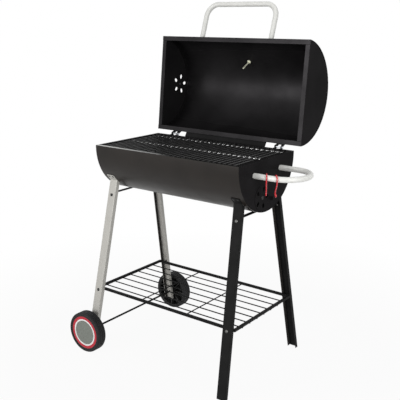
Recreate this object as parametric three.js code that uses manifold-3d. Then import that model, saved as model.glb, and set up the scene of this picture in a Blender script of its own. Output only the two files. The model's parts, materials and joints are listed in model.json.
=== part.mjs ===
// Half-barrel charcoal barbecue on a four-legged trolley, with its lid standing open.
// Millimetres, +X along the barrel, +Y to the back, +Z up.
import * as THREE from "three";
import { mergeVertices } from "three/addons/utils/BufferGeometryUtils.js";
import Module from "manifold-3d";

// ---- Driving dimensions ----------------------------------------------------

// Fits
const SEAT_GAP = 0.4; // air between two pieces that touch
const PIN_GAP = 0.3; // radial air round a pin or bolt in its hole

// Bowl
const BOWL_LENGTH = 660;
const BOWL_RADIUS = 185;
const BOWL_RIM_HEIGHT = 826;
const BOWL_RIM_STRAIGHT = 8;
const BOWL_LIP = 14;
const BOWL_SHEET = 1.2;

// Lid
const LID_OVERHANG = 17; // past the bowl at each end
const LID_SIDE_OVERHANG = 9.5; // past the bowl, front and back
const LID_DEPTH = 180;
const LID_LIP = 18;
const LID_SHEET = 1.1;
const LID_REST_GAP = 1.0; // from the bowl's rim to the closed lid
const LID_OPEN_ANGLE = 95.8;

// End plates
const END_INSET = 1.0; // the drum's edge stands this far past the plate
const END_SHEET = 1.5;
const END_FLANGE = 9;

// Lid hinges
const HINGE_BEHIND_LID = 12; // axis behind the closed lid's rear edge
const HINGE_ABOVE_RIM = 2;
const HINGE_INSET = 78; // from the bowl's end to the middle of a hinge
const HINGE_PIN_RADIUS = 3;
const HINGE_EYE_RADIUS = 8;
const HINGE_STRAP_WIDTH = 26;
const HINGE_STRAP_LENGTH = 34;
const HINGE_STRAP_START = 1.5; // above the lid's edge
const HINGE_SHEET = 2;
const HINGE_PIN_HEAD_RADIUS = 4.8;
const HINGE_PIN_HEAD = 2.4;
const HINGE_BRACKET_DROP = 24;
const LID_STOP_INSET = 57; // from the middle of a hinge to the strip's end
const LID_STOP_DROP = 18;
const LID_STOP_SHEET = 1.4;
const LID_STOP_BELOW_RIM = 4;
const LID_STOP_BEHIND_PIN = 3;

// Air vents
const VENT_PETALS = 5;
const VENT_PETAL_CIRCLE = 32;
const VENT_PETAL_LENGTH = 20;
const VENT_PETAL_WIDTH = 14;
const VENT_DISC_MARGIN = 4;
const VENT_DISC_SHEET = 1.2;
const VENT_TAB_LENGTH = 12;
const VENT_TAB_WIDTH = 14;
const VENT_RIVET_RADIUS = 3;
const VENT_RIVET_HEAD_RADIUS = 6.5;
const VENT_RIVET_HEAD = 3;
const LID_VENT_UP = 131;
const LID_VENT_PETAL_BEARING = 98; // one petal points almost straight at the top of the lid
const BOWL_VENT_FORWARD = 32;
const BOWL_VENT_RISE = 57; // above the bowl's bottom
const BOWL_VENT_TAB_BEARING = -12; // the damper's finger tab points to the back

// Tube handles
const TUBE_RADIUS = 10;
const LID_HANDLE_SPACING = 325;
const LID_HANDLE_REACH = 337; // from the lid drum's axis to the grip's centre line
const LID_HANDLE_BEARING = 13.1; // above the opening plane
const LID_HANDLE_BEND = 50;
const SIDE_HANDLE_SPACING = 175;
const SIDE_HANDLE_REACH = 158;
const SIDE_HANDLE_GRIP_STRAIGHT = 2; // between the two bends
const SIDE_HANDLE_BELOW_RIM = 47;
const HANDLE_SCREW_RADIUS = 3;
const HANDLE_SCREW_DEPTH = 16;
const HANDLE_SCREW_HEAD_RADIUS = 7;
const HANDLE_SCREW_HEAD = 3.5;

// Thermometer
const THERMOMETER_BEARING = 55; // round the lid from its front edge
const THERMOMETER_RADIUS = 28;
const THERMOMETER_DEPTH = 15;
const THERMOMETER_WALL = 2;
const THERMOMETER_NECK_RADIUS = 9;
const THERMOMETER_NECK = 4;
const THERMOMETER_STEM_RADIUS = 3;
const THERMOMETER_STEM = 55;
const THERMOMETER_LENS = 1.6;
const THERMOMETER_DIAL = 0.8;
const THERMOMETER_NUT_RADIUS = 8.5;
const THERMOMETER_NUT = 6;
const NEEDLE_THICKNESS = 0.8;
const NEEDLE_WIDTH = 3.2; // at its tail
const NEEDLE_TIP_WIDTH = 1;
const NEEDLE_TAIL = 7;
const NEEDLE_RIM_GAP = 6;
const NEEDLE_BOSS_RADIUS = 3;

// Cooking grate
const GRATE_PITCH = 22;
const GRATE_WIRE_RADIUS = 2.5;
const GRATE_ROD_RADIUS = 3;
const GRATE_SIDE_GAP = 3; // to the bowl's lips, front and back
const GRATE_END_GAP = 1.5; // to the end plates' lips
const GRATE_ROD_INSET = 13;
const GRATE_BELOW_RIM = 0.4;
const WELD_SINK = 0.8; // how far two welded wires sink into each other
const GRATE_REST_WIDTH = 16;
const GRATE_REST_LENGTH = 26;
const GRATE_REST_DROP = 12;

// Charcoal grate
const CHARCOAL_RISE = 89; // above the bowl's bottom
const CHARCOAL_SHEET = 1.5;
const CHARCOAL_FLANGE = 14;
const CHARCOAL_END_GAP = 1; // to the flanges of the bowl's end plates
const CHARCOAL_SLOT_PITCH = 29;
const CHARCOAL_SLOT = 13;

// Trolley legs
const LEG_WIDTH = 37;
const LEG_FLANGE = 17;
const LEG_SHEET = 1.6;
const LEG_FOOT_INSET = 6.1; // from the bowl's end
const LEG_FOOT_Y = 262.3;
const LEG_LEAN = 0.193; // inwards for each unit of height
const LEG_SPLAY = 0.045;
const WHEELED_LEG_END = 50; // height of the wheeled legs' lower ends
const LEG_TAB_ARC = 9; // degrees of drum that the bolted tab covers
const LEG_BOLT_RADIUS = 3;
const LEG_BOLT_HEAD_RADIUS = 6;
const LEG_BOLT_HEAD = 3;

// Braces under the bowl
const BRACE_WIDTH = 16;
const BRACE_SHEET = 2.5;
const BRACE_TAB = 17;

// Lower shelf
const SHELF_OVERHANG = 23.26; // past the middle of a leg
const SHELF_TOP = 248;
const SHELF_BAR = 10;
const SHELF_WIRE_RADIUS = 2.25;
const SHELF_LONG_PITCH = 48.5;
const SHELF_CROSS_PITCH = 220;
const SHELF_BOLT_GRIP = 8; // how deep a shelf bolt goes into the bar

// Axle and wheels
const WHEEL_RADIUS = 82;
const WHEEL_WIDTH = 42;
const WHEEL_MID_Y = 275;
const TYRE_THICKNESS = 11.6;
const TYRE_GROOVES = 2;
const TYRE_GROOVE_DEPTH = 1.5;
const TYRE_SHOULDER = 5;
const TYRE_BEAD = 1.5;
const RIM_WALL = 2.8;
const RIM_RIBS = 8;
const RIM_RIB_THICKNESS = 4;
const RIM_RIB_SINK = 1; // how far a rib runs into the barrel and the web
const RIM_RIB_INSET = 2; // from the barrel's inner edge
const RIM_INSET = 2; // from the tyre's sides
const RIM_WEB = 3;
const HUB_RADIUS = 13;
const HUB_INNER_REACH = 25;
const HUB_RECESS = 11; // from the tyre's outer side to the hub's end
const CAP_RADIUS = 44;
const CAP_DOME = 5.5;
const TRIM_THICKNESS = 3.5;
const AXLE_RADIUS = 4;
const AXLE_CAP_RADIUS = 8;
const AXLE_CAP = 4.5;
const AXLE_CAP_SHEET = 1.2;

// Hooks
const HOOK_WIRE_RADIUS = 2.3;
const HOOK_TWISTS = [30, 42]; // how far each hook is turned about the vertical
const HOOK_PLACES = [49, 86]; // from the end plate along the handle's arm
const HOOK_EYE_GAP = 0.8; // air between the tube and the hook's eye
const HOOK_DROP = 63; // from the handle's centre line to the hook's lowest point
const HOOK_TIP_RADIUS = 7;

// ---- Values that follow from them ------------------------------------------

const BOWL_AXIS_Z = BOWL_RIM_HEIGHT - BOWL_RIM_STRAIGHT;
const BOWL_INNER_RADIUS = BOWL_RADIUS - BOWL_SHEET;
const BOWL_BOTTOM = BOWL_AXIS_Z - BOWL_RADIUS;
const BOWL_END_X = BOWL_LENGTH / 2 - END_INSET; // outer face of an end plate
const LID_LENGTH = BOWL_LENGTH + 2 * LID_OVERHANG;
const LID_CHORD = 2 * (BOWL_RADIUS + LID_SIDE_OVERHANG);
const LID_RADIUS = (LID_CHORD ** 2 / 4 + LID_DEPTH ** 2) / (2 * LID_DEPTH);
const LID_AXIS_Z = LID_DEPTH - LID_RADIUS; // measured from the opening plane
const LID_END_X = LID_LENGTH / 2 - END_INSET;
const HINGE_X = BOWL_LENGTH / 2 - HINGE_INSET;
const HINGE_Y = LID_CHORD / 2 + HINGE_BEHIND_LID;
const HINGE_Z = BOWL_RIM_HEIGHT + HINGE_ABOVE_RIM;
const LID_PLANE_Z = BOWL_RIM_HEIGHT + LID_REST_GAP;
const HINGE_AXIS_ABOVE_LID = HINGE_Z - LID_PLANE_Z;
const WHEEL_INNER_RADIUS = WHEEL_RADIUS - TYRE_THICKNESS;
const RIM_OUTER_RADIUS = WHEEL_INNER_RADIUS - SEAT_GAP;
const HANDLE_Z = BOWL_RIM_HEIGHT - SIDE_HANDLE_BELOW_RIM;
const SIDE_HANDLE_TIP_X = BOWL_LENGTH / 2 + SIDE_HANDLE_REACH;
const SIDE_HANDLE_BEND = (SIDE_HANDLE_SPACING - SIDE_HANDLE_GRIP_STRAIGHT) / 2;
const LEG_FOOT_X = BOWL_LENGTH / 2 - LEG_FOOT_INSET;
const SHELF_LENGTH = 2 * (LEG_FOOT_X - LEG_SPLAY * SHELF_TOP + SHELF_OVERHANG);
// The shelf fits between the inner edges of the legs' flanges at the height of its top.
const SHELF_HALF_Y = LEG_FOOT_Y - LEG_LEAN * SHELF_TOP - LEG_FLANGE * Math.hypot(LEG_LEAN, 1) - SEAT_GAP;
const DEGREE = Math.PI / 180;

const wasm = await Module();
wasm.setup();

// ---- Geometry helpers ------------------------------------------------------

// A closed three.js geometry as a manifold-3d solid.
function solid(geometry) {
  const bare = geometry.index ? geometry.toNonIndexed() : geometry.clone();
  bare.deleteAttribute("normal");
  bare.deleteAttribute("uv");
  const merged = mergeVertices(bare, 1e-4);
  const index = merged.index.array;
  const triVerts = [];
  for (let i = 0; i < index.length; i += 3) {
    const [a, b, c] = [index[i], index[i + 1], index[i + 2]];
    if (a !== b && b !== c && c !== a) triVerts.push(a, b, c);
  }
  const vertProperties = merged.attributes.position.array;
  const mesh = new wasm.Mesh({ numProp: 3, vertProperties, triVerts: new Uint32Array(triVerts) });
  return new wasm.Manifold(mesh);
}

function geometryOf(manifold) {
  const mesh = manifold.getMesh();
  const positions = new Float32Array(mesh.numVert * 3);
  for (let i = 0; i < mesh.numVert; i++) {
    positions.set(mesh.vertProperties.subarray(i * mesh.numProp, i * mesh.numProp + 3), i * 3);
  }
  const geometry = new THREE.BufferGeometry();
  geometry.setAttribute("position", new THREE.BufferAttribute(positions, 3));
  geometry.setIndex(new THREE.BufferAttribute(mesh.triVerts, 1));
  geometry.computeVertexNormals();
  return geometry;
}

const join = (first, ...others) => others.reduce((sum, other) => sum.add(other), first);
const cut = (first, ...tools) => tools.reduce((rest, tool) => rest.subtract(tool), first);

// Points of a circular arc in the drawing plane, angles in degrees.
function arc(centreX, centreY, radius, from, to, steps) {
  const points = [];
  for (let i = 0; i <= steps; i++) {
    const angle = (from + ((to - from) * i) / steps) * DEGREE;
    points.push(new THREE.Vector2(centreX + radius * Math.cos(angle), centreY + radius * Math.sin(angle)));
  }
  return points;
}

const at = (x, y) => new THREE.Vector2(x, y);

// An outline pushed along +Z from z0 to z1.
function prism(points, z0, z1) {
  const geometry = new THREE.ExtrudeGeometry(new THREE.Shape(points), {
    depth: z1 - z0,
    bevelEnabled: false,
    curveSegments: 12,
  });
  return geometry.translate(0, 0, z0);
}

// The drawing's x, y and extrusion become the part's Y, Z and X.
const YZ_TO_X = new THREE.Matrix4().makeBasis(
  new THREE.Vector3(0, 1, 0),
  new THREE.Vector3(0, 0, 1),
  new THREE.Vector3(1, 0, 0),
);

// An outline drawn in the Y-Z plane, pushed along X from x0 to x1.
const alongX = (points, x0, x1) => solid(prism(points, x0, x1).applyMatrix4(YZ_TO_X));

function boxGeometry(x0, x1, y0, y1, z0, z1) {
  return new THREE.BoxGeometry(x1 - x0, y1 - y0, z1 - z0)
    .translate((x0 + x1) / 2, (y0 + y1) / 2, (z0 + z1) / 2);
}

const box = (...limits) => solid(boxGeometry(...limits));

// A profile of [radius, height] pairs turned about +Z.
function turned(profile, sides) {
  const points = profile.map(([radius, height]) => at(radius, height));
  return new THREE.LatheGeometry(points, sides).rotateX(Math.PI / 2);
}

// A ring or tube with a rectangular section about +Z.
function ring(inner, outer, z0, z1, sides) {
  return turned([[inner, z0], [outer, z0], [outer, z1], [inner, z1], [inner, z0]], sides);
}

function rod(radius, z0, z1, sides) {
  return turned([[0, z0], [radius, z0], [radius, z1], [0, z1]], sides);
}

// A round bar from one point to another.
function bar(start, end, radius, sides) {
  const direction = end.clone().sub(start);
  const turn = new THREE.Quaternion().setFromUnitVectors(
    new THREE.Vector3(0, 0, 1), direction.clone().normalize());
  const upright = rod(radius, 0, direction.length(), sides);
  return solid(upright.applyQuaternion(turn).translate(start.x, start.y, start.z));
}

// A round tube or wire along a path of straight runs and bends.
function wireAlong(path, radius, steps, sides) {
  const section = new THREE.Shape(arc(0, 0, radius, 0, 360, sides).slice(0, sides));
  return new THREE.ExtrudeGeometry(section, { steps, bevelEnabled: false, extrudePath: path });
}

// A path through points, each corner rounded by the given radius. An extrusion along it
// takes one step on each straight run and bendSteps steps on each bend.
class RoundedPath extends THREE.Curve {
  constructor(points, radius, bendSteps) {
    super();
    this.runs = []; // one curve for each step, or for each bend's steps together
    let start = points[0];
    for (let i = 1; i < points.length - 1; i++) {
      const into = points[i].clone().sub(points[i - 1]).normalize();
      const out = points[i + 1].clone().sub(points[i]).normalize();
      const half = into.angleTo(out) / 2;
      const inset = radius * Math.tan(half);
      const bendStart = points[i].clone().addScaledVector(into, -inset);
      const bendEnd = points[i].clone().addScaledVector(out, inset);
      this.runs.push({ curve: new THREE.LineCurve3(start, bendStart), steps: 1 });
      this.runs.push({ curve: new BendCurve(bendStart, into, out, radius, 2 * half), steps: bendSteps });
      start = bendEnd;
    }
    this.runs.push({ curve: new THREE.LineCurve3(start, points.at(-1)), steps: 1 });
    this.steps = this.runs.reduce((sum, run) => sum + run.steps, 0);
  }

  // The run that holds the share t of all steps, and the share of that run.
  locate(t) {
    let step = t * this.steps;
    for (const run of this.runs) {
      if (step <= run.steps + 1e-9) {
        return { curve: run.curve, share: Math.min(1, Math.max(0, step / run.steps)) };
      }
      step -= run.steps;
    }
    return { curve: this.runs.at(-1).curve, share: 1 };
  }

  getPoint(t, target = new THREE.Vector3()) {
    const { curve, share } = this.locate(t);
    return target.copy(curve.getPoint(share));
  }

  getPointAt(t, target) {
    return this.getPoint(t, target);
  }

  getTangentAt(t, target = new THREE.Vector3()) {
    const { curve, share } = this.locate(t);
    return target.copy(curve.getTangent(share));
  }
}

// A circular bend that leaves start along one direction and ends along another.
class BendCurve extends THREE.Curve {
  constructor(start, into, out, radius, angle) {
    super();
    const across = out.clone().addScaledVector(into, -out.dot(into)).normalize();
    Object.assign(this, { start, into, across, radius, angle });
  }

  getPoint(t, target = new THREE.Vector3()) {
    const angle = this.angle * t;
    return target
      .copy(this.start)
      .addScaledVector(this.into, this.radius * Math.sin(angle))
      .addScaledVector(this.across, this.radius * (1 - Math.cos(angle)));
  }

  getTangent(t, target = new THREE.Vector3()) {
    const angle = this.angle * t;
    return target
      .copy(this.into)
      .multiplyScalar(Math.cos(angle))
      .addScaledVector(this.across, Math.sin(angle));
  }
}

// ---- Materials -------------------------------------------------------------

function finish(color, roughness, metalness) {
  return () => new THREE.MeshStandardMaterial({ color, roughness, metalness });
}

const blackEnamel = finish(0x2c2a2b, 0.42, 0.1);
const blackPaint = finish(0x2b2b2b, 0.5, 0.1);
const silverPaint = finish(0xc8c5c0, 0.4, 0.3);
const palePaint = finish(0xe8e8e4, 0.35, 0.2);
const blackSteel = finish(0x232323, 0.45, 0.3);
const zincSteel = finish(0xb9bbbc, 0.3, 0.9);
const blackRubber = finish(0x1c1c1c, 0.85, 0);
const blackPlastic = finish(0x242424, 0.6, 0);
const greyPlastic = finish(0x7a7d7a, 0.5, 0);
const redPlastic = finish(0xc8102e, 0.45, 0);
const redPaint = finish(0xd0303a, 0.35, 0.1);
const whiteCard = finish(0xf2f2ee, 0.7, 0);
const clearGlass = finish(0xdfe8ea, 0.05, 0);

const part = new THREE.Group();
const lidHinge = new THREE.Group(); // turns the closed lid about its hinge axis to stand open
const lid = new THREE.Group(); // the closed lid's own frame: origin in the middle of its opening
lidHinge.position.set(0, HINGE_Y, HINGE_Z);
lidHinge.rotation.x = -LID_OPEN_ANGLE * DEGREE;
lid.position.set(0, -HINGE_Y, -HINGE_AXIS_ABOVE_LID);
lidHinge.add(lid);
part.add(lidHinge);

function addMesh(group, name, shape, material) {
  const geometry = shape.isBufferGeometry ? geometryOf(solid(shape)) : geometryOf(shape);
  const mesh = new THREE.Mesh(geometry, material());
  mesh.name = name;
  group.add(mesh);
  return mesh;
}

const SIDES = [["left", -1], ["right", 1]];
const DEPTHS = [["front", -1], ["back", 1]];

// ---- Air vents -------------------------------------------------------------

// A vent has its centre in the Y-Z plane, the bearing of its first petal and the bearing of
// its damper's finger tab, in degrees from +Y towards +Z.
const BOWL_VENT = {
  y: -BOWL_VENT_FORWARD, z: BOWL_BOTTOM + BOWL_VENT_RISE, petal: 0, tab: BOWL_VENT_TAB_BEARING };
const LID_VENT = { y: 0, z: LID_VENT_UP, petal: LID_VENT_PETAL_BEARING, tab: 270 };

// The petal-shaped holes of a vent.
function petals(vent, x0, x1) {
  const holes = [];
  for (let i = 0; i < VENT_PETALS; i++) {
    const turn = (vent.petal + (360 * i) / VENT_PETALS) * DEGREE;
    const outline = arc(0, 0, 1, 0, 360, 12).slice(0, 12).map((p) => {
      const along = VENT_PETAL_CIRCLE + (p.x * VENT_PETAL_LENGTH) / 2;
      const across = (p.y * VENT_PETAL_WIDTH) / 2;
      return at(
        vent.y + along * Math.cos(turn) - across * Math.sin(turn),
        vent.z + along * Math.sin(turn) + across * Math.cos(turn),
      );
    });
    holes.push(alongX(outline, x0, x1));
  }
  return join(...holes);
}

const VENT_DISC_RADIUS = VENT_PETAL_CIRCLE + VENT_PETAL_LENGTH / 2 + VENT_DISC_MARGIN;

function ventPinHole(vent, x0, x1) {
  return alongX(arc(vent.y, vent.z, VENT_RIVET_RADIUS + PIN_GAP, 0, 360, 12).slice(0, 12), x0, x1);
}

// The damper disc over a vent, on the plate's outer face at x, facing outwards along side.
// Its finger tab ends in a lip folded outwards.
function ventDisc(vent, faceX, side) {
  const inner = faceX + side * SEAT_GAP;
  const outer = inner + side * VENT_DISC_SHEET;
  const [x0, x1] = [Math.min(inner, outer), Math.max(inner, outer)];
  const disc = alongX(arc(vent.y, vent.z, VENT_DISC_RADIUS, 0, 360, 32).slice(0, 32), x0, x1);
  const root = VENT_DISC_RADIUS - 2;
  const tip = root + VENT_TAB_LENGTH;
  const half = VENT_TAB_WIDTH / 2;
  const grip = outer + side * VENT_TAB_LENGTH;
  const turn = new THREE.Matrix4().makeRotationX(vent.tab * DEGREE).setPosition(0, vent.y, vent.z);
  const tab = solid(boxGeometry(x0, x1, root, tip, -half, half).applyMatrix4(turn));
  const [lip0, lip1] = [Math.min(inner, grip), Math.max(inner, grip)];
  const lipBox = boxGeometry(lip0, lip1, tip - VENT_DISC_SHEET, tip, -half, half);
  const lip = solid(lipBox.applyMatrix4(turn));
  return cut(join(disc, tab, lip), petals(vent, x0 - 1, x1 + 1), ventPinHole(vent, x0 - 1, x1 + 1));
}

// The rivet that carries a damper disc: a domed head outside and a flat one inside.
function ventRivet(vent, faceX, side) {
  const stack = END_SHEET + VENT_DISC_SHEET + 2 * SEAT_GAP; // the plate, the disc and their gaps
  const inside = -SEAT_GAP;
  const profile = [
    [0, inside - VENT_RIVET_HEAD / 2],
    [VENT_RIVET_HEAD_RADIUS * 0.8, inside - VENT_RIVET_HEAD / 2],
    [VENT_RIVET_HEAD_RADIUS * 0.8, inside],
    [VENT_RIVET_RADIUS, inside],
    [VENT_RIVET_RADIUS, stack],
    [VENT_RIVET_HEAD_RADIUS, stack],
    [VENT_RIVET_HEAD_RADIUS * 0.85, stack + VENT_RIVET_HEAD * 0.6],
    [VENT_RIVET_HEAD_RADIUS * 0.45, stack + VENT_RIVET_HEAD],
    [0, stack + VENT_RIVET_HEAD],
  ];
  return turned(profile, 12)
    .rotateY((side * Math.PI) / 2)
    .translate(faceX - side * END_SHEET, vent.y, vent.z);
}

// ---- Drum shells and end plates --------------------------------------------

// The lengthwise sheet of the bowl or the lid as a section in the Y-Z plane: a drum wall
// from one edge to the other and a lip folded inwards along each edge.
// wall(inset) gives the wall's line, inset from the outside, from the +Y edge to the -Y edge.
function shellSection(wall, halfWidth, edgeZ, lip, lipInwards, sheet) {
  const lipZ = edgeZ + lipInwards * sheet;
  const outer = wall(0);
  const inner = wall(sheet).filter((p) => (p.y - lipZ) * lipInwards > 1e-6).reverse();
  const innerEdge = halfWidth - sheet;
  return [
    ...outer,
    at(-halfWidth + lip, edgeZ),
    at(-halfWidth + lip, lipZ),
    at(-innerEdge, lipZ),
    ...inner,
    at(innerEdge, lipZ),
    at(halfWidth - lip, lipZ),
    at(halfWidth - lip, edgeZ),
  ];
}

const DRUM_STEPS = 36;

// The bowl's wall, inset by the given amount: straight rims and a half circle below.
function bowlWall(inset) {
  const half = arc(0, BOWL_AXIS_Z, BOWL_RADIUS - inset, 360, 180, DRUM_STEPS);
  return [at(BOWL_RADIUS - inset, BOWL_RIM_HEIGHT), ...half, at(-BOWL_RADIUS + inset, BOWL_RIM_HEIGHT)];
}

// The lid's wall in its own frame: one arc from edge to edge over the top.
function lidWall(inset) {
  const radius = LID_RADIUS - inset;
  const start = Math.asin(-LID_AXIS_Z / radius) / DEGREE;
  return arc(0, LID_AXIS_Z, radius, start, 180 - start, DRUM_STEPS);
}

// An end plate: a D-shaped sheet whose curved edge is turned inwards inside the drum,
// with a lip along its straight edge.
function endPlate(wall, sheet, edgeZ, lip, lipInwards, halfOpening, faceX, side) {
  const fit = sheet + SEAT_GAP;
  const trim = edgeZ + lipInwards * fit; // the plate stays clear of the shell's lips
  const keep = lipInwards > 0 ? Math.max : Math.min;
  const clip = (points) => points.map((p) => at(p.x, keep(p.y, trim)));
  const outer = clip(wall(fit));
  const inner = clip(wall(fit + END_SHEET));
  const span = (a, b) => [Math.min(a, b), Math.max(a, b)];
  const plate = alongX(outer, ...span(faceX, faceX - side * END_SHEET));
  const flange = alongX([...outer, ...inner.reverse()], ...span(faceX, faceX - side * END_FLANGE));
  const lipEdge = halfOpening - SEAT_GAP;
  const lipDepth = edgeZ + lipInwards * END_SHEET;
  const [z0, z1] = span(edgeZ, lipDepth);
  const lipPlate = box(...span(faceX, faceX - side * lip), -lipEdge, lipEdge, z0, z1);
  const [n0, n1] = span(edgeZ, trim + lipInwards);
  const neck = box(...span(faceX, faceX - side * END_SHEET), -lipEdge, lipEdge, n0, n1);
  return join(plate, flange, lipPlate, neck);
}

function screwHole(start, end, radius) {
  return bar(start, end, radius + PIN_GAP, 12);
}

const BOWL_OPENING_Y = BOWL_RADIUS - BOWL_LIP;
const LID_OPENING_Y = LID_CHORD / 2 - LID_LIP;

const GRATE_HALF_Y = BOWL_OPENING_Y - GRATE_SIDE_GAP;
const GRATE_HALF_X = BOWL_END_X - BOWL_LIP - GRATE_END_GAP;
const GRATE_WIRE_Z = BOWL_RIM_HEIGHT - GRATE_BELOW_RIM - GRATE_WIRE_RADIUS;
const GRATE_ROD_Z = GRATE_WIRE_Z - GRATE_WIRE_RADIUS - GRATE_ROD_RADIUS + WELD_SINK;
const GRATE_ROD_PLACES = [-1, 0, 1].map((i) => i * (GRATE_HALF_Y - GRATE_ROD_INSET));

// Small angle brackets inside a bowl end plate that carry the cooking grate's rods.
function grateRests(side) {
  const top = GRATE_ROD_Z - GRATE_ROD_RADIUS - SEAT_GAP;
  const face = BOWL_END_X - END_SHEET / 2;
  return GRATE_ROD_PLACES.flatMap((y) => {
    const half = GRATE_REST_WIDTH / 2;
    const ends = [side * face, side * (face - GRATE_REST_LENGTH)].sort((a, b) => a - b);
    const heel = [side * face, side * (BOWL_END_X - 2 * END_SHEET)].sort((a, b) => a - b);
    return [
      box(...ends, y - half, y + half, top - END_SHEET, top),
      box(...heel, y - half, y + half, top - GRATE_REST_DROP, top),
    ];
  });
}

function bowlEnd(side) {
  const face = side * BOWL_END_X;
  const plate = endPlate(bowlWall, BOWL_SHEET, BOWL_RIM_HEIGHT, BOWL_LIP, -1, BOWL_OPENING_Y, face, side);
  return join(plate, ...grateRests(side));
}

function lidEnd(side) {
  return endPlate(lidWall, LID_SHEET, 0, LID_LIP, 1, LID_OPENING_Y, side * LID_END_X, side);
}

// A vent's petals and the hole of its rivet, cut through a plate.
function ventCut(vent, x0, x1) {
  return petals(vent, x0, x1).add(ventPinHole(vent, x0, x1));
}

// ---- Screws and bolts ------------------------------------------------------

// A round-headed screw that points along +Z: its head lies below z = 0.
function screw(radius, length, headRadius, head) {
  return turned([
    [0, -head],
    [headRadius * 0.7, -head],
    [headRadius, 0],
    [radius, 0],
    [radius, length],
    [0, length],
  ], 8);
}

function place(geometry, origin, direction) {
  const turn = new THREE.Quaternion().setFromUnitVectors(new THREE.Vector3(0, 0, 1), direction);
  return geometry.applyQuaternion(turn).translate(origin.x, origin.y, origin.z);
}

// ---- Bowl ------------------------------------------------------------------

const bowlSection = shellSection(
  bowlWall, BOWL_RADIUS, BOWL_RIM_HEIGHT, BOWL_LIP, -1, BOWL_SHEET);
addMesh(part, "bowl_shell", alongX(bowlSection, -BOWL_LENGTH / 2, BOWL_LENGTH / 2), blackEnamel);

const sideHandleEnds = DEPTHS.map(([name, sign]) => [name, (sign * SIDE_HANDLE_SPACING) / 2]);
const handleScrewHoles = sideHandleEnds.map(([, y]) => screwHole(
  new THREE.Vector3(BOWL_END_X - 2 * END_SHEET, y, HANDLE_Z),
  new THREE.Vector3(BOWL_END_X + 1, y, HANDLE_Z),
  HANDLE_SCREW_RADIUS,
));
addMesh(part, "bowl_end_left", bowlEnd(-1), blackEnamel);
addMesh(part, "bowl_end_right", cut(
  bowlEnd(1),
  ventCut(BOWL_VENT, BOWL_END_X - 2 * END_SHEET, BOWL_END_X + 1),
  ...handleScrewHoles,
), blackEnamel);
addMesh(part, "bowl_vent_disc", ventDisc(BOWL_VENT, BOWL_END_X, 1), blackEnamel);
addMesh(part, "bowl_vent_rivet", ventRivet(BOWL_VENT, BOWL_END_X, 1), zincSteel);

// ---- Side handle and its hooks ---------------------------------------------

function sideHandle() {
  const x0 = BOWL_END_X + SEAT_GAP;
  const half = SIDE_HANDLE_SPACING / 2;
  const corners = [
    new THREE.Vector3(x0, -half, HANDLE_Z),
    new THREE.Vector3(SIDE_HANDLE_TIP_X, -half, HANDLE_Z),
    new THREE.Vector3(SIDE_HANDLE_TIP_X, half, HANDLE_Z),
    new THREE.Vector3(x0, half, HANDLE_Z),
  ];
  const path = new RoundedPath(corners, SIDE_HANDLE_BEND, 8);
  return wireAlong(path, TUBE_RADIUS, path.steps, 14);
}

const sideScrewHoles = sideHandleEnds.map(([, y]) => screwHole(
  new THREE.Vector3(BOWL_END_X, y, HANDLE_Z),
  new THREE.Vector3(BOWL_END_X + HANDLE_SCREW_DEPTH + 1, y, HANDLE_Z),
  HANDLE_SCREW_RADIUS,
));
addMesh(part, "side_handle", cut(solid(sideHandle()), ...sideScrewHoles), palePaint);
for (const [name, y] of sideHandleEnds) {
  const seat = BOWL_END_X - END_SHEET - SEAT_GAP;
  const length = BOWL_END_X + HANDLE_SCREW_DEPTH - seat;
  const shape = screw(HANDLE_SCREW_RADIUS, length, HANDLE_SCREW_HEAD_RADIUS, HANDLE_SCREW_HEAD);
  addMesh(part, "side_handle_screw_" + name,
    place(shape, new THREE.Vector3(seat, y, HANDLE_Z), new THREE.Vector3(1, 0, 0)), zincSteel);
}

// The centre line of the handle's front arm: its point at a given x and how far it has
// turned there about the vertical, in degrees.
function frontArm(x) {
  const intoBend = Math.max(0, x - (SIDE_HANDLE_TIP_X - SIDE_HANDLE_BEND));
  const turn = Math.asin(intoBend / SIDE_HANDLE_BEND);
  const y = -SIDE_HANDLE_SPACING / 2 + SIDE_HANDLE_BEND * (1 - Math.cos(turn));
  return { point: new THREE.Vector3(x, y, HANDLE_Z), turn: turn / DEGREE };
}

// An S-hook hung over the handle's front arm. Its eye hugs the tube as an oval, because the
// hook's plane is turned about the vertical, and its shank hangs on the outer side.
function sHook(x, twist) {
  const arm = frontArm(x);
  const clearRadius = TUBE_RADIUS + HOOK_WIRE_RADIUS + HOOK_EYE_GAP;
  const eyeHalfWidth = clearRadius / Math.cos((twist - arm.turn) * DEGREE);
  const outwards = new THREE.Vector3(Math.sin(twist * DEGREE), -Math.cos(twist * DEGREE), 0);
  const spot = (across, rise) => new THREE.Vector3(0, 0, rise)
    .add(arm.point)
    .addScaledVector(outwards, across);
  const points = [];
  for (let angle = 200; angle >= 0; angle -= 20) {
    points.push(spot(eyeHalfWidth * Math.cos(angle * DEGREE), clearRadius * Math.sin(angle * DEGREE)));
  }
  const tipCentre = -1;
  const tipZ = -HOOK_DROP + HOOK_WIRE_RADIUS + HOOK_TIP_RADIUS;
  const shankTop = eyeHalfWidth;
  const shankFoot = tipCentre - HOOK_TIP_RADIUS;
  for (const share of [0.2, 0.4, 0.6, 0.8]) {
    const ease = share * share * (3 - 2 * share);
    points.push(spot(shankTop + (shankFoot - shankTop) * ease, tipZ * share));
  }
  for (let angle = 180; angle <= 380; angle += 25) {
    const across = HOOK_TIP_RADIUS * Math.cos(angle * DEGREE);
    const rise = HOOK_TIP_RADIUS * Math.sin(angle * DEGREE);
    points.push(spot(tipCentre + across, tipZ + rise));
  }
  return wireAlong(new THREE.CatmullRomCurve3(points), HOOK_WIRE_RADIUS, 30, 6);
}

HOOK_PLACES.forEach((place_, i) => {
  addMesh(part, "s_hook_" + (i + 1), sHook(BOWL_LENGTH / 2 + place_, HOOK_TWISTS[i]), redPaint);
});

// ---- Grates ----------------------------------------------------------------

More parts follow.
